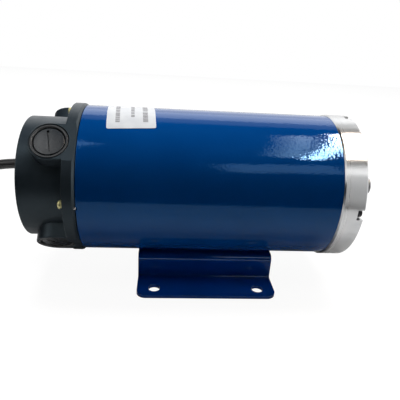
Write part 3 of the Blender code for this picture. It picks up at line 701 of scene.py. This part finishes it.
def coil_tie(i, angle, look):
    """A cable tie round the coil: a flat ribbed band with its head on the outer side."""
    width = 4.6 * MM
    half = 0.55 * MM
    inner = COIL_RADIUS - CORD_RADIUS - 0.3 * MM
    outer = COIL_RADIUS + CORD_RADIUS + 0.3 * MM
    low = half
    high = COIL_HIGH[2] + 0.3 * MM + half
    middle = ((inner + outer) / 2, (low + high) / 2)
    outline = rounded_rectangle(outer - inner + 2 * half, high - low, 3.4 * MM, 6)
    count = len(outline)

    def build(bm):
        section = ((-1, -1), (-1, 1), (1, 1), (1, -1))
        rings = []
        for i, (x, z) in enumerate(outline):
            before = Vector(outline[i - 1])
            after = Vector(outline[(i + 1) % count])
            along = (after - before).normalized()
            out = Vector((along.y, -along.x))
            ring = []
            for side, lift in section:
                spot = Vector((x, z)) + out * half * lift
                spot += Vector(middle)
                ring.append(bm.verts.new((spot.x, side * width / 2, spot.y)))
            rings.append(ring)
        for a, b in zip(rings, rings[1:] + rings[:1]):
            bridge(bm, a, b)

    place_of = shift(*COIL_CENTRE, 0) @ spin(radians(angle))
    tie = from_bmesh(f"lead_tie_{i}", build, place_of)
    head_place = place_of @ shift(inner - 0.6 * MM, 0, high * 0.55)
    head = block("tie_head", mm(3.0, 6.2, 5.4), head_place, 0.6 * MM)
    combined(tie, [head], "UNION")
    smooth(tie, 35)
    return keep(tie, "housing", "black_plastic", look, f"coil_tie_{i}")


def cable_connector(look):
    """A two-row plug housing with a latch and ribs."""
    size_x, size_y, size_z = CONNECTOR
    a = radians(TAIL_END + 90 + TAIL_TURN)
    heading = Vector((cos(a), sin(a), 0))
    end = tail_point(TAIL_END, size_z / 2 + 0.3 * MM)
    middle = end + (size_x / 2 + 0.3 * MM) * heading
    place_of = Matrix.Translation(middle) @ spin(atan2(heading.y, heading.x))
    shell = block("cable_plug", (size_x, size_y, size_z), edge=0.9 * MM)
    cuts = []
    for column in (-1, 0, 1):
        for row in (-1, 1):
            spot = shift(size_x / 2, column * 3.9 * MM, row * 2.0 * MM)
            cuts.append(block("contact", mm(7, 2.6, 2.4), spot, 0.3 * MM))
    for side in (-1, 1):
        for k in range(5):
            x = -size_x / 2 + (4.5 + 1.8 * k) * MM
            spot = shift(x, side * size_y / 2, 0)
            cuts.append(block("grip", mm(0.9, 1.0, 6.2), spot))
    spot = shift(size_x / 2 - 7 * MM, 0, size_z / 2)
    cuts.append(block("latch_window", mm(6.5, 5.0, 1.6), spot, 0.3 * MM))
    combined(shell, cuts, "DIFFERENCE")
    shell.data.transform(place_of)
    smooth(shell, 35)
    return keep(shell, "housing", "black_plastic", look, "cable_connector")


def gland_place(station):
    middle = shift(at(station), CORD_ACROSS, AXIS + GLAND_RISE)
    return middle @ Matrix.Rotation(pi / 2, 4, "Y")


def cable_gland(look):
    """A nylon gland: a hexagonal base and a fluted dome nut."""
    bore = CORD_RADIUS + 0.35 * MM
    points = (
        mm(7.5, 6.0, 0.4),
        mm(-0.3, 6.0, 0),
        mm(-0.3, 8.4, 0.5),
        mm(-6.0, 8.4, 0.6),
        mm(-7.3, 7.4, 0.5),
        mm(-15.0, 7.0, 2.0),
        mm(-20.0, 5.5, 0.7),
        (-20.0 * MM, bore, 0.3 * MM),
        (7.5 * MM, bore, 0.3 * MM),
    )
    gland = lathe("lead_gland", points, 72, True)
    cuts = []
    for k in range(6):
        spot = spin(tau * k / 6) @ shift(9.5 * MM, 0, -3.1 * MM)
        cuts.append(block("flat", mm(4, 14, 5.4), spot, 0.2 * MM))
    for k in range(12):
        turn = spin(tau * (k + 0.5) / 12)
        spot = turn @ shift(7.6 * MM, 0, -12.3 * MM)
        cuts.append(rod("flute", 0.8 * MM, 9 * MM, 16, spot))
    combined(gland, cuts, "DIFFERENCE")
    gland.data.transform(gland_place(0))
    smooth(gland, 34)
    return keep(gland, "housing", "black_plastic", look, "cable_gland")


def make_lead():
    plastic = dark_plastic()
    points = lead_points()
    lead = tube_curve("lead", points, CORD_RADIUS)
    keep(lead, "housing", "cord_sheath", cord_sheath(), "power_cable", "cable_coil", "cable_tail")
    gland = cable_gland(plastic)
    plug = cable_connector(plastic)
    ties = [coil_tie(i, angle, plastic) for i, angle in enumerate((210, 310), 1)]


# Housing pieces


def tube_shell(look):
    low, high = TUBE_STATIONS[0], TUBE_STATIONS[1] + 0.25 * MM
    edge = 0.5 * MM
    points = (
        (low, TUBE_RADIUS, edge),
        (high, TUBE_RADIUS, 0.12 * MM),
        (high, TUBE_BORE, edge),
        (low, TUBE_BORE, edge),
    )
    tube = lathe("tube_shell", points, 192, True, on_shaft(), steps=3)
    pin_hole = rod("pin_hole", PIN_HOLE, 2.4 * MM, 24, pin_place())
    combined(tube, [pin_hole], "DIFFERENCE")
    return keep(smooth(tube), "housing", "blue_paint", look, "motor_tube")


def pin_place():
    station = (RING_FRONT + TUBE_STATIONS[0]) / 2
    return along_shaft(PIN_ANGLE, TUBE_RADIUS - 0.4 * MM, station)


def boss_outline(radius, reach):
    steps = 40
    turn = [pi / 2 + pi * i / steps for i in range(steps + 1)]
    arc = [(radius * cos(a), radius * sin(a)) for a in turn]
    return [*arc, (reach, -radius), (reach, radius)]


def boss(i, angle):
    """A brush boss: a raised horseshoe with a rolled rim that runs on to the ring."""
    outline = boss_outline(BOSS_RADIUS, RING_BACK + 3 * MM - BRUSH_STATION)
    made = prism(f"boss_{i}", outline, 40 * MM, BOSS_FACE, edge=0.8 * MM)
    made.data.transform(facing(BRUSH_STATION, angle))
    return made


def well(i, angle):
    points = (
        (BOSS_FACE + 2 * MM, 0, 0),
        (BOSS_FACE + 2 * MM, WELL_RADIUS + 0.35 * MM, 0),
        (BOSS_FACE - 0.05 * MM, WELL_RADIUS + 0.35 * MM, 0),
        (BOSS_FACE - 0.5 * MM, WELL_RADIUS, 0),
        (WELL_FLOOR, WELL_RADIUS, 0.3 * MM),
        (WELL_FLOOR, HOLDER_RADIUS + 0.3 * MM, 0),
        (38 * MM, HOLDER_RADIUS + 0.3 * MM, 0),
        (38 * MM, 0, 0),
    )
    return lathe(f"well_{i}", points, 96, False, facing(BRUSH_STATION, angle))


def bell_shell(look):
    """The cast end bell: a cup, the ring that bolts to the tube and four brush bosses."""
    points = (
        (4.5 * MM, 0, 0),
        mm(4.5, 15.3, 0.4),
        mm(15.6, 15.3, 0.5),
        mm(15.6, 19.0, 0.6),
        mm(4.0, 19.0, 1.0),
        (4.0 * MM, BELL_BORE, 1.5 * MM),
        (REAR_SPIGOT_END, BELL_BORE, 0.4 * MM),
        (REAR_SPIGOT_END, SPIGOT_RADIUS, 0.5 * MM),
        (RING_FRONT, SPIGOT_RADIUS, 0),
        (RING_FRONT, RING_RADIUS - 1.6 * MM, 0.25 * MM),
        (RING_FRONT - 1.6 * MM, RING_RADIUS, 0.3 * MM),
        (RING_BACK, RING_RADIUS, 0.5 * MM),
        (RING_BACK, BELL_RADIUS, 1.2 * MM),
        (0, BELL_RADIUS, 1.1 * MM),
        mm(0, 23.0, 0.4),
        mm(0.5, 22.4, 0.3),
        (0.5 * MM, 0, 0),
    )
    bell = lathe("bell_shell", points, 192, False, on_shaft(), steps=5)
    combined(bell, [boss(i, a) for i, a in enumerate(BOSS_ANGLES)], "UNION")
    cuts = [well(i, a) for i, a in enumerate(BOSS_ANGLES)]
    flat_size = mm(12, 40, 8)
    for angle in BOSS_ANGLES:
        raised = shift(5.8 * MM, 0, RING_FLAT + flat_size[2] / 2)
        cuts.append(block("flat", flat_size, facing(RING_BACK, angle) @ raised))
    for angle in SCREW_ANGLES:
        middle = along_shaft(angle, SCREW_CIRCLE, (RING_BACK + RING_FRONT) / 2)
        cuts.append(rod("hole", SCREW_HOLE, 14 * MM, 32, middle))
    cuts.append(rod("gland_hole", 6.3 * MM, 14 * MM, 48, gland_place(2 * MM)))
    cuts.append(rod("pin_hole", PIN_HOLE, 4.6 * MM, 24, pin_place()))
    combined(bell, cuts, "DIFFERENCE")
    smooth(bell, 30)
    return keep(bell, "housing", "cast_black", look, "rear_bell")


def flange_shell(look):
    """The drive-end flange: a turned rim, face and pilot, with a notch for each screw."""
    points = (
        (PILOT_FACE, PILOT_RADIUS, 0.5 * MM),
        (FLANGE_FACE, PILOT_RADIUS, 0.4 * MM),
        (FLANGE_FACE, FLANGE_RADIUS, 0.8 * MM),
        (FLANGE_BACK + 0.95 * MM, FLANGE_RADIUS, 0),
        (FLANGE_BACK, TUBE_RADIUS + 0.15 * MM, 0),
        (FLANGE_BACK, SPIGOT_RADIUS, 0.2 * MM),
        (FRONT_SPIGOT_END, SPIGOT_RADIUS, 0.5 * MM),
        (FRONT_SPIGOT_END, 42.0 * MM, 0.4 * MM),
        mm(228.0, 42.0, 1.0),
        mm(228.0, 25.0, 1.0),
        (FRONT_SPIGOT_END, 25.0 * MM, 0.5 * MM),
        (FRONT_SPIGOT_END, FRONT_BEARING_SEAT, 0.4 * MM),
        (220.3 * MM, FRONT_BEARING_SEAT, 0),
        mm(220.3, 21.2, 0),
        mm(222.5, 21.2, 0),
        (222.5 * MM, FRONT_BEARING_SEAT, 0),
        (234.9 * MM, FRONT_BEARING_SEAT, 0.3 * MM),
        mm(234.9, 9.5, 0),
        mm(237.6, 9.5, 0),
        mm(237.6, 13.3, 0.2),
        (PILOT_FACE, 13.3 * MM, 0.5 * MM),
    )
    flange = lathe("flange_shell", points, 192, True, on_shaft(), steps=4)
    cuts = []
    for angle in SCREW_ANGLES:
        raised = facing(FLANGE_FACE, angle) @ shift(0, 0, 46.9 * MM + 7 * MM)
        cuts.append(block("notch", mm(10, 7.6, 14), raised, 0.4 * MM))
        middle = along_shaft(angle, SCREW_CIRCLE, 230 * MM)
        cuts.append(rod("hole", SCREW_HOLE, 30 * MM, 32, middle))
    for angle in BOSS_ANGLES:
        thread = (
            (FLANGE_FACE + 1 * MM, 0, 0),
            (FLANGE_FACE + 1 * MM, 4.2 * MM, 0),
            (FLANGE_FACE - 0.6 * MM, 2.6 * MM, 0),
            (FLANGE_FACE - 10 * MM, 2.6 * MM, 0),
            (FLANGE_FACE - 11.3 * MM, 0, 0),
        )
        cuts.append(lathe("thread", thread, 40, False, along_shaft(angle, THREAD_CIRCLE)))
    combined(flange, cuts, "DIFFERENCE")
    smooth(flange, 30)
    return keep(flange, "housing", "machined_aluminium", look, "front_flange")


def rear_screw(i, angle, look):
    washer_front = RING_BACK - 0.3 * MM
    washer_back = washer_front - 1.0 * MM
    head_front = washer_back - 0.3 * MM
    head_back = head_front - 2.2 * MM
    tip = 51.0 * MM
    where = along_shaft(angle, SCREW_CIRCLE)
    head = (
        (head_back, 0, 0),
        (head_back, 1.4 * MM, 1.0 * MM),
        (head_back + 0.7 * MM, 3.0 * MM, 0.8 * MM),
        (head_front, 3.0 * MM, 0.2 * MM),
        (head_front, 1.8 * MM, 0),
        (tip - 0.6 * MM, 1.8 * MM, 0),
        (tip, 1.3 * MM, 0),
        (tip, 0, 0),
    )
    screw = lathe(f"ring_screw_{i}", head, 48)
    cross = []
    for turn in (0, pi / 2):
        spot = shift(0, 0, head_back + 0.4 * MM) @ spin(turn)
        cross.append(block("wing", mm(0.85, 3.4, 1.8), spot, 0.12 * MM))
    combined(screw, cross, "DIFFERENCE")
    screw.data.transform(where)
    keep(smooth(screw), "housing", "yellow_zinc", look, f"rear_screw_{i}")
    ring = (
        (washer_back, 3.0 * MM, 0.2 * MM),
        (washer_front, 3.0 * MM, 0.2 * MM),
        (washer_front, 2.1 * MM, 0.15 * MM),
        (washer_back, 2.1 * MM, 0.15 * MM),
    )
    washer = lathe(f"ring_washer_{i}", ring, 48, True, where)
    keep(smooth(washer), "housing", "yellow_zinc", look, f"rear_washer_{i}")


def front_screw(i, angle, look):
    front = 240.9 * MM
    back = 236.9 * MM
    tip = 214.0 * MM
    profile = (
        (front, 0, 0),
        (front, 3.3 * MM, 0.4 * MM),
        (back, 3.3 * MM, 0.15 * MM),
        (back, 1.8 * MM, 0),
        (tip + 0.5 * MM, 1.8 * MM, 0),
        (tip, 1.3 * MM, 0),
        (tip, 0, 0),
    )
    screw = lathe(f"flange_screw_{i}", profile, 48)
    cuts = [rod("hex", 1.7 * MM, 4.4 * MM, 6, shift(0, 0, front))]
    for k in range(24):
        turn = spin(tau * k / 24)
        spot = turn @ shift(3.42 * MM, 0, (front + back) / 2 - 0.2 * MM)
        cuts.append(rod("knurl", 0.24 * MM, 3.2 * MM, 8, spot))
    combined(screw, cuts, "DIFFERENCE")
    screw.data.transform(along_shaft(angle, SCREW_CIRCLE))
    keep(smooth(screw), "housing", "black_oxide", look, f"front_screw_{i}")


def foot_section(steps=10):
    half = FOOT_THICKNESS / 2
    top = FOOT_HIGH[2] - half
    web = FOOT_WEB_FACE - half
    big = FOOT_TOP_BEND - half
    small = FOOT_LOW_BEND + half
    side = [(FOOT_HIGH[1], half)]
    for k in range(steps + 1):
        a = -pi / 2 - pi / 2 * k / steps
        side.append((web + small + small * cos(a), half + small + small * sin(a)))
    for k in range(steps + 1):
        a = pi / 2 * k / steps
        side.append((web - big + big * cos(a), top - big + big * sin(a)))
    return side + [(-y, z) for y, z in reversed(side)]


def foot_plate(look):
    """The foot: one bent strip with rounded corners and rims, and four bolt holes."""
    points = foot_section()
    low, high = FOOT_LOW[0], FOOT_HIGH[0]

    def build(bm):
        rows = [[bm.verts.new((x, y, z)) for y, z in points] for x in (low, high)]
        for i in range(len(points) - 1):
            bm.faces.new((rows[0][i], rows[0][i + 1], rows[1][i + 1], rows[1][i]))

    foot = from_bmesh("foot_plate", build)
    thick = foot.modifiers.new("Thickness", "SOLIDIFY")
    thick.thickness = FOOT_THICKNESS
    thick.offset = 0
    thick.use_even_offset = True
    applied(foot)
    middle = shift((low + high) / 2, 0, 0)
    outline = rounded_rectangle(high - low, FOOT_HIGH[1] - FOOT_LOW[1], FOOT_CORNER, 10)
    blank = prism("blank", outline, -20 * MM, 60 * MM, where=middle)
    combined(foot, [blank], "INTERSECT")
    holes = []
    for x in (-1, 1):
        for y in (-1, 1):
            spot = Vector((x * FOOT_HOLE_SPACING[0] / 2, y * FOOT_HOLE_SPACING[1] / 2, 0))
            holes.append(rod("hole", FOOT_HOLE, 20 * MM, 40, middle @ Matrix.Translation(spot)))
    combined(foot, holes, "DIFFERENCE")
    bevelled(foot, 0.45 * MM, 3, 50)
    return keep(smooth(foot, 34), "housing", "blue_paint", look, "foot_bracket")


def weld_bead(side, look):
    """A weld bead with the ripples that each pass of the torch leaves."""
    name = f"foot_weld_{side}"
    box_low, box_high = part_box(name)
    radius = (box_high[1] - box_low[1]) / 2
    middle_y = (box_high[1] + box_low[1]) / 2
    middle_z = (box_high[2] + box_low[2]) / 2
    length = box_high[0] - box_low[0]
    count = 220
    sides = 12

    def build(bm):
        rings = []
        for k in range(count + 1):
            x = box_low[0] + length * k / count
            end = min(1.0, 12 * min(k, count - k) / count + 0.35)
            ripple = 0.86 + 0.14 * abs(sin(pi * k / 5))
            r = radius * end * ripple
            angles = [tau * j / sides for j in range(sides)]
            rings.append(
                [bm.verts.new((x, middle_y + r * cos(a), middle_z + r * sin(a))) for a in angles]
            )
        for a, b in zip(rings, rings[1:]):
            bridge(bm, a, b)
        bm.faces.new(rings[0])
        bm.faces.new(rings[-1])

    bead = from_bmesh(f"weld_{side}", build)
    keep(smooth(bead, 60), "housing", "blue_paint", look, name)


def on_label(name, lift, thickness, stations, angles, corner=0.0, steps=(24, 48)):
    """A thin patch round the tube, turned as the label is, with rounded corners if asked."""
    radius = TUBE_RADIUS + lift
    length = stations[1] - stations[0]
    arc = radians(angles[1] - angles[0]) * radius
    middle_station = sum(stations) / 2
    middle_angle = sum(angles) / 2

    def spot(x, y, raised):
        x += middle_station - LABEL_MIDDLE[0]
        y += radians(middle_angle - LABEL_MIDDLE[1]) * radius
        station = LABEL_MIDDLE[0] + x * cos(LABEL_TWIST) - y * sin(LABEL_TWIST)
        turned = x * sin(LABEL_TWIST) + y * cos(LABEL_TWIST)
        angle = LABEL_MIDDLE[1] + turned / radius * 180 / pi
        return Vector((at(station), 0, AXIS)) + (radius + raised) * outward(angle)

    def inset(x):
        """How far the end is pulled in at this distance from the patch's side."""
        if corner <= 0:
            return 0.0
        near = length / 2 - abs(x)
        if near >= corner:
            return 0.0
        return corner - (corner**2 - (corner - near) ** 2) ** 0.5

    def build(bm):
        columns = []
        for i in range(steps[0] + 1):
            x = -length / 2 * cos(pi * i / steps[0])
            half = arc / 2 - inset(x)
            row = [-half + 2 * half * j / steps[1] for j in range(steps[1] + 1)]
            columns.append([[bm.verts.new(spot(x, y, t)) for y in row] for t in (0, thickness)])
        for a, b in zip(columns, columns[1:]):
            for j in range(steps[1]):
                bm.faces.new((a[1][j], b[1][j], b[1][j + 1], a[1][j + 1]))
                bm.faces.new((a[0][j + 1], b[0][j + 1], b[0][j], a[0][j]))
            for j in (0, steps[1]):
                bm.faces.new((a[0][j], b[0][j], b[1][j], a[1][j]))
        for column in (columns[0], columns[-1]):
            for j in range(steps[1]):
                bm.faces.new((column[0][j], column[0][j + 1], column[1][j + 1], column[1][j]))

    return from_bmesh(name, build)


def label():
    """The rating sticker, blank but for generic printed bars."""
    low, high = LABEL_STATIONS
    film = on_label("rating_sticker", 0.05 * MM, 0.2 * MM, LABEL_STATIONS, LABEL_ANGLES, 1.2 * MM)
    keep(smooth(film, 50), "housing", "label_film", label_film(), "rating_label")
    ink = label_ink()
    columns = (
        (0.22, 3.0 * MM, ((64.5, 66.5), (67, 69), (69.5, 71.5), (72, 78), (79, 83), (84, 95))),
        (0.53, 2.6 * MM, ((71, 74.5), (75.5, 77), (77.5, 79), (80, 86), (87, 96))),
        (0.79, 3.6 * MM, ((64.5, 69.5), (70, 74), (74.5, 79), (81, 84), (85, 97))),
    )
    number = 0
    for share, width, bars in columns:
        middle = low + share * (high - low)
        for bar in bars:
            number += 1
            span = (middle - width / 2, middle + width / 2)
            made = on_label(f"printed_bar_{number}", 0.25 * MM, 0.03 * MM, span, bar, 0.0, (2, 8))
            keep(smooth(made, 50), "housing", "label_film", ink)


def seam_pin(look):
    points = (
        (-2.0 * MM, 0, 0),
        mm(-2.0, 0.9, 0.3),
        mm(0.4, 0.9, 0.4),
        (0.4 * MM, 0, 0),
    )
    pin = lathe("joint_pin", points, 32, False, pin_place())
    keep(smooth(pin), "housing", "bright_steel", look, "seam_pin")


# Brush gear


def holder(i, angle, look):
    """The threaded insert that a brush slides in, with its rim in the boss's well."""
    rim = BOSS_FACE - 0.2 * MM
    points = (
        (48.2 * MM, 0, 0),
        (48.2 * MM, CAP_RADIUS + 0.5 * MM, 0),
        (rim - 0.8 * MM, CAP_RADIUS + 0.5 * MM, 0),
        (rim, CAP_RADIUS + 1.0 * MM, 0.3 * MM),
        (rim, WELL_RADIUS - 0.3 * MM, 0.4 * MM),
        (WELL_FLOOR + 0.3 * MM, WELL_RADIUS - 0.3 * MM, 0.3 * MM),
        (WELL_FLOOR + 0.3 * MM, HOLDER_RADIUS, 0),
        (HOLDER_END, HOLDER_RADIUS, 0.4 * MM),
        (HOLDER_END, 0, 0),
    )
    made = lathe(f"brush_tube_{i}", points, 96)
    bore = block("bore", mm(9, 9, 40), shift(0, 0, 34 * MM), 0.3 * MM)
    combined(made, [bore], "DIFFERENCE")
    made.data.transform(facing(BRUSH_STATION, angle))
    keep(smooth(made, 30), "housing", "black_plastic", look, f"brush_holder_{i}")


def cap(i, angle, look):
    """A slotted screw cap with a faintly domed top, a round sink at one end of the slot."""
    points = (
        (CAP_TOP, 0, 0),
        (CAP_TOP - 0.10 * MM, 6.0 * MM, 0),
        (CAP_TOP - 0.35 * MM, CAP_RADIUS, 0.6 * MM),
        (CAP_BOTTOM, CAP_RADIUS, 0.3 * MM),
        (CAP_BOTTOM, 0, 0),
    )
    made = lathe(f"screw_cap_{i}", points, 96)
    turn = spin(radians(CAP_SLOT_ANGLES[i - 1]))
    slot_size = mm(16.0, 1.15, 3.0)
    slot = block("slot", slot_size, turn @ shift(0, 0, CAP_TOP), 0.15 * MM)
    sink_place = turn @ shift(slot_size[0] / 2 - 0.4 * MM, 0, CAP_TOP)
    sink = rod("sink", 0.85 * MM, 3.4 * MM, 24, sink_place)
    combined(made, [slot, sink], "DIFFERENCE")
    made.data.transform(facing(BRUSH_STATION, angle))
    keep(smooth(made, 30), f"cap_{i}", "black_plastic", look, f"brush_cap_{i}")


def spring(i, angle, look):
    """A coil spring from the brush's back to the cap."""
    wire = 0.38 * MM
    radius = 3.1 * MM
    low = BRUSH_BACK + 0.3 * MM + wire
    high = CAP_BOTTOM - 0.3 * MM - wire
    turns = 4
    count = turns * 24
    where = facing(BRUSH_STATION, angle)
    points = []
    for k in range(count + 1):
        a = tau * k * turns / count
        height = low + (high - low) * k / count
        points.append(where @ Vector((radius * cos(a), radius * sin(a), height)))
    curve = tube_curve("spring_wire", points, wire, 3)
    wound = curve.evaluated_get(bpy.context.evaluated_depsgraph_get())
    mesh = bpy.data.meshes.new_from_object(wound)
    bpy.data.objects.remove(curve, do_unlink=True)
    obj = smooth(new_object(f"coil_spring_{i}", mesh), 60)
    keep(obj, "housing", "bright_steel", look, f"brush_spring_{i}")
    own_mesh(obj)


# Drive end


def shaft(look):
    points = (
        (SHAFT_END, 0, 0),
        (SHAFT_END, 7.0 * MM, 1.0 * MM),
        mm(237.0, 7.0, 0),
        mm(237.0, 8.5, 0.3),
        mm(210.0, 8.5, 0),
        mm(210.0, 10.0, 0.3),
        mm(48.0, 10.0, 0.3),
        mm(48.0, 8.0, 0),
        mm(16.0, 8.0, 0.3),
        mm(16.0, 5.0, 0),
        mm(6.4, 5.0, 0.4),
        (6.4 * MM, 0, 0),
    )
    made = lathe("drive_shaft", points, 96, False, on_shaft())
    seat_outline = rounded_rectangle(16.6 * MM, 5.6 * MM, 2.75 * MM, 8)
    seat_place = shift(at(SHAFT_END - 11 * MM), 0, AXIS)
    seat = prism("keyway", seat_outline, 3.7 * MM, 12 * MM, where=seat_place)
    centre_drill = (
        (SHAFT_END + 1 * MM, 0, 0),
        (SHAFT_END + 1 * MM, 3.0 * MM, 0),
        (SHAFT_END - 1.6 * MM, 0.9 * MM, 0),
        (SHAFT_END - 3.4 * MM, 0.9 * MM, 0),
        (SHAFT_END - 3.9 * MM, 0, 0),
    )
    drill = lathe("centre_drill", centre_drill, 32, False, on_shaft())
    combined(made, [seat, drill], "DIFFERENCE")
    keep(smooth(made, 30), "rotor", "bright_steel", look, "rotor_shaft")
    low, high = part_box("shaft_key")
    size = [b - a for a, b in zip(low, high)]
    middle = Matrix.Translation([(a + b) / 2 for a, b in zip(low, high)])
    outline = rounded_rectangle(size[0], size[1], size[1] / 2 - 0.01 * MM, 8)
    key = prism("drive_key", outline, -size[2] / 2, size[2] / 2, 0.25 * MM, middle)
    keep(smooth(key, 30), "rotor", "bright_steel", look, "shaft_key")


def seal(look):
    """A lip seal: an outer case, a dished face and a thin lip round the shaft."""
    low, high = 238.0 * MM, 244.2 * MM
    points = (
        (high, 13.0 * MM, 0.4 * MM),
        (low, 13.0 * MM, 0.4 * MM),
        (low, 7.6 * MM, 0.2 * MM),
        (low + 1.5 * MM, 7.3 * MM, 0.2 * MM),
        (low + 3.0 * MM, 8.6 * MM, 0.3 * MM),
        (high - 1.2 * MM, 9.4 * MM, 0.3 * MM),
        (high - 0.9 * MM, 11.2 * MM, 0.3 * MM),
        (high, 11.6 * MM, 0.2 * MM),
    )
    made = lathe("lip_seal", points, 96, True, on_shaft())
    keep(smooth(made, 30), "housing", "seal_rubber", look, "shaft_seal")


# Pieces that keep their CAD shape


def finish_node(node, look, width=0.25):
    """A CAD node with its own material, and edges broken by a fine bevel."""
    obj = frame["nodes"][node]
    obj.data.materials.clear()
    obj.data.materials.append(look)
    if width:
        add_bevel(obj, width * MM, 2)


def finish_inner_nodes():
    steel = ground_steel("bearing_steel", 0.5)
    rings = [f"{end}_bearing_{ring}" for end in ("rear", "front") for ring in ("outer", "inner")]
    for node in (*rings, "wave_washer", "bearing_circlip"):
        finish_node(node, steel)
    finish_node("armature_core", laminated_steel(), 0)
    finish_node("armature_winding", copper("winding_copper", True), 0)
    finish_node("commutator", copper(), 0)
    finish_node("commutator_hub", resin())
    dark = ferrite()
    block_carbon = carbon()
    for i in range(1, 5):
        finish_node(f"field_magnet_{i}", dark)
        finish_node(f"carbon_brush_{i}", block_carbon)


# Studio


def panel(name, centre, target, size, radiance, lights=False, turn=0, tint=(1, 1, 1)):
    """A soft box that the camera does not see: it either lights the scene or is mirrored."""
    data = bpy.data.lights.new(name, "AREA")
    data.shape = "RECTANGLE"
    data.size, data.size_y = size
    data.energy = radiance * pi * size[0] * size[1]
    light = bpy.data.objects.new(name, data)
    bpy.context.scene.collection.objects.link(light)
    light.location = centre
    heading = Vector(target) - Vector(centre)
    facing_target = heading.to_track_quat("-Z", "Y").to_matrix()
    light.rotation_euler = (facing_target @ Matrix.Rotation(radians(turn), 3, "Z")).to_euler()
    data.color = tint
    light.visible_camera = False
    light.visible_diffuse = lights
    light.visible_glossy = not lights


def sheet(name, height):
    corners = ((-2.5, -0.29), (2.5, -0.29), (2.5, 1.45), (-2.5, 1.45))

    def build(bm):
        bm.faces.new([bm.verts.new((x, y, height)) for x, y in corners])

    return from_bmesh(name, build)


def studio():
    """The soft boxes and the floor: a table that is lit but not seen, over a bright backing."""
    table = sheet("table", 0.0)
    pale = Look("pale_table", 0.7)
    pale.colour(pale.noise(3, 2), (0.58, 0.58, 0.58), (0.60, 0.60, 0.60))
    table.data.materials.append(pale.material)
    backing = sheet("table_backing", -0.0002)
    bright = Look("lit_backing", 0.7)
    bright.colour(bright.noise(3, 2), (0.10, 0.10, 0.10), (0.11, 0.11, 0.11))
    bright.shader.inputs["Emission Color"].default_value = (1, 1, 1, 1)
    bright.shader.inputs["Emission Strength"].default_value = 0.93
    backing.data.materials.append(bright.material)
    hidden_from = ((table, ("camera", "shadow")), (backing, ("diffuse", "glossy", "shadow")))
    for floor, rays in hidden_from:
        for ray in rays:
            setattr(floor, f"visible_{ray}", False)
    world = bpy.data.worlds.new("studio")
    world.use_nodes = True
    world.node_tree.nodes["Background"].inputs["Color"].default_value = (1, 1, 1, 1)
    world.cycles_visibility.diffuse = False
    world.cycles_visibility.glossy = False
    bpy.context.scene.world = world
    bpy.context.scene.view_settings.view_transform = "Standard"
    panel("fill_box", (0.0, 0.25, 1.1), (0, 0, 0), (0.8, 0.5), 16, lights=True)
    panel("foot_fill", (0.05, -0.40, 1.0), (0, -0.04, 0), (0.8, 0.3), 3.5, lights=True)
    warm = (1.0, 0.86, 0.74)
    strip, strip_low = (0.392, -0.125, 0.85), (0.392, -0.125, 0)
    panel("strip_box", strip, strip_low, (0.044, 0.72), 80, turn=-3, tint=warm)
    panel("glare_box", (0.308, -0.16, 0.85), (0.308, -0.16, 0), (0.05, 0.58), 7, tint=warm)
    panel("soft_glare_box", (0.26, -0.16, 0.85), (0.26, -0.16, 0), (0.045, 0.54), 3.5, tint=warm)
    panel("front_box", (0.36, -0.88, 0.85), (0.1, 0, 0.1), (0.40, 0.26), 1.8)
    panel("left_box", (-0.40, -0.30, 0.86), (-0.11, 0, 0.1), (0.3, 0.3), 2.5)
    panel("back_box", (0.1, 1.5, 0.95), (0.1, 0, 0.95), (3.0, 1.7), 1.2)
    panel("top_box", (0.2, 0.82, 0.9), (0.2, 0, 0.1), (1.4, 0.7), 0.6)
    panel("edge_box", (-0.88, -0.46, 0.61), (0.1, 0, 0.1), (0.6, 0.6), 2.5)
    panel("side_box", (1.03, -0.51, 0.22), (0.13, 0, 0.08), (0.8, 1.2), 3.2)
    panel("right_box", (1.1, 0.45, 0.75), (0, 0, 0.1), (0.9, 0.8), 2)


def build():
    make_camera()
    make_lead()
    paint = blue_paint()
    tube_shell(paint)
    bell_shell(black_casting())
    flange_shell(turned_aluminium())
    # The foot and its weld beads take the brightened enamel, with painted light.
    foot = lightened_foot_paint()
    foot_plate(foot)
    for side in ("near", "far"):
        weld_bead(side, foot)
    zinc = yellow_zinc()
    oxide = black_oxide()
    for i, angle in enumerate(SCREW_ANGLES, 1):
        rear_screw(i, angle, zinc)
        front_screw(i, angle, oxide)
    label()
    steel = ground_steel()
    seam_pin(steel)
    rim = dark_plastic()
    cap_look = cap_plastic()
    for i, angle in enumerate(BOSS_ANGLES, 1):
        holder(i, angle, rim)
        cap(i, angle, cap_look)
        spring(i, angle, steel)
    shaft(ground_steel("shaft_steel", 0.22))
    seal(moulding("seal_rubber", (0.018, 0.018, 0.018), (0.03, 0.03, 0.03), 0.4, 0.55))
    finish_inner_nodes()
    studio()


build()
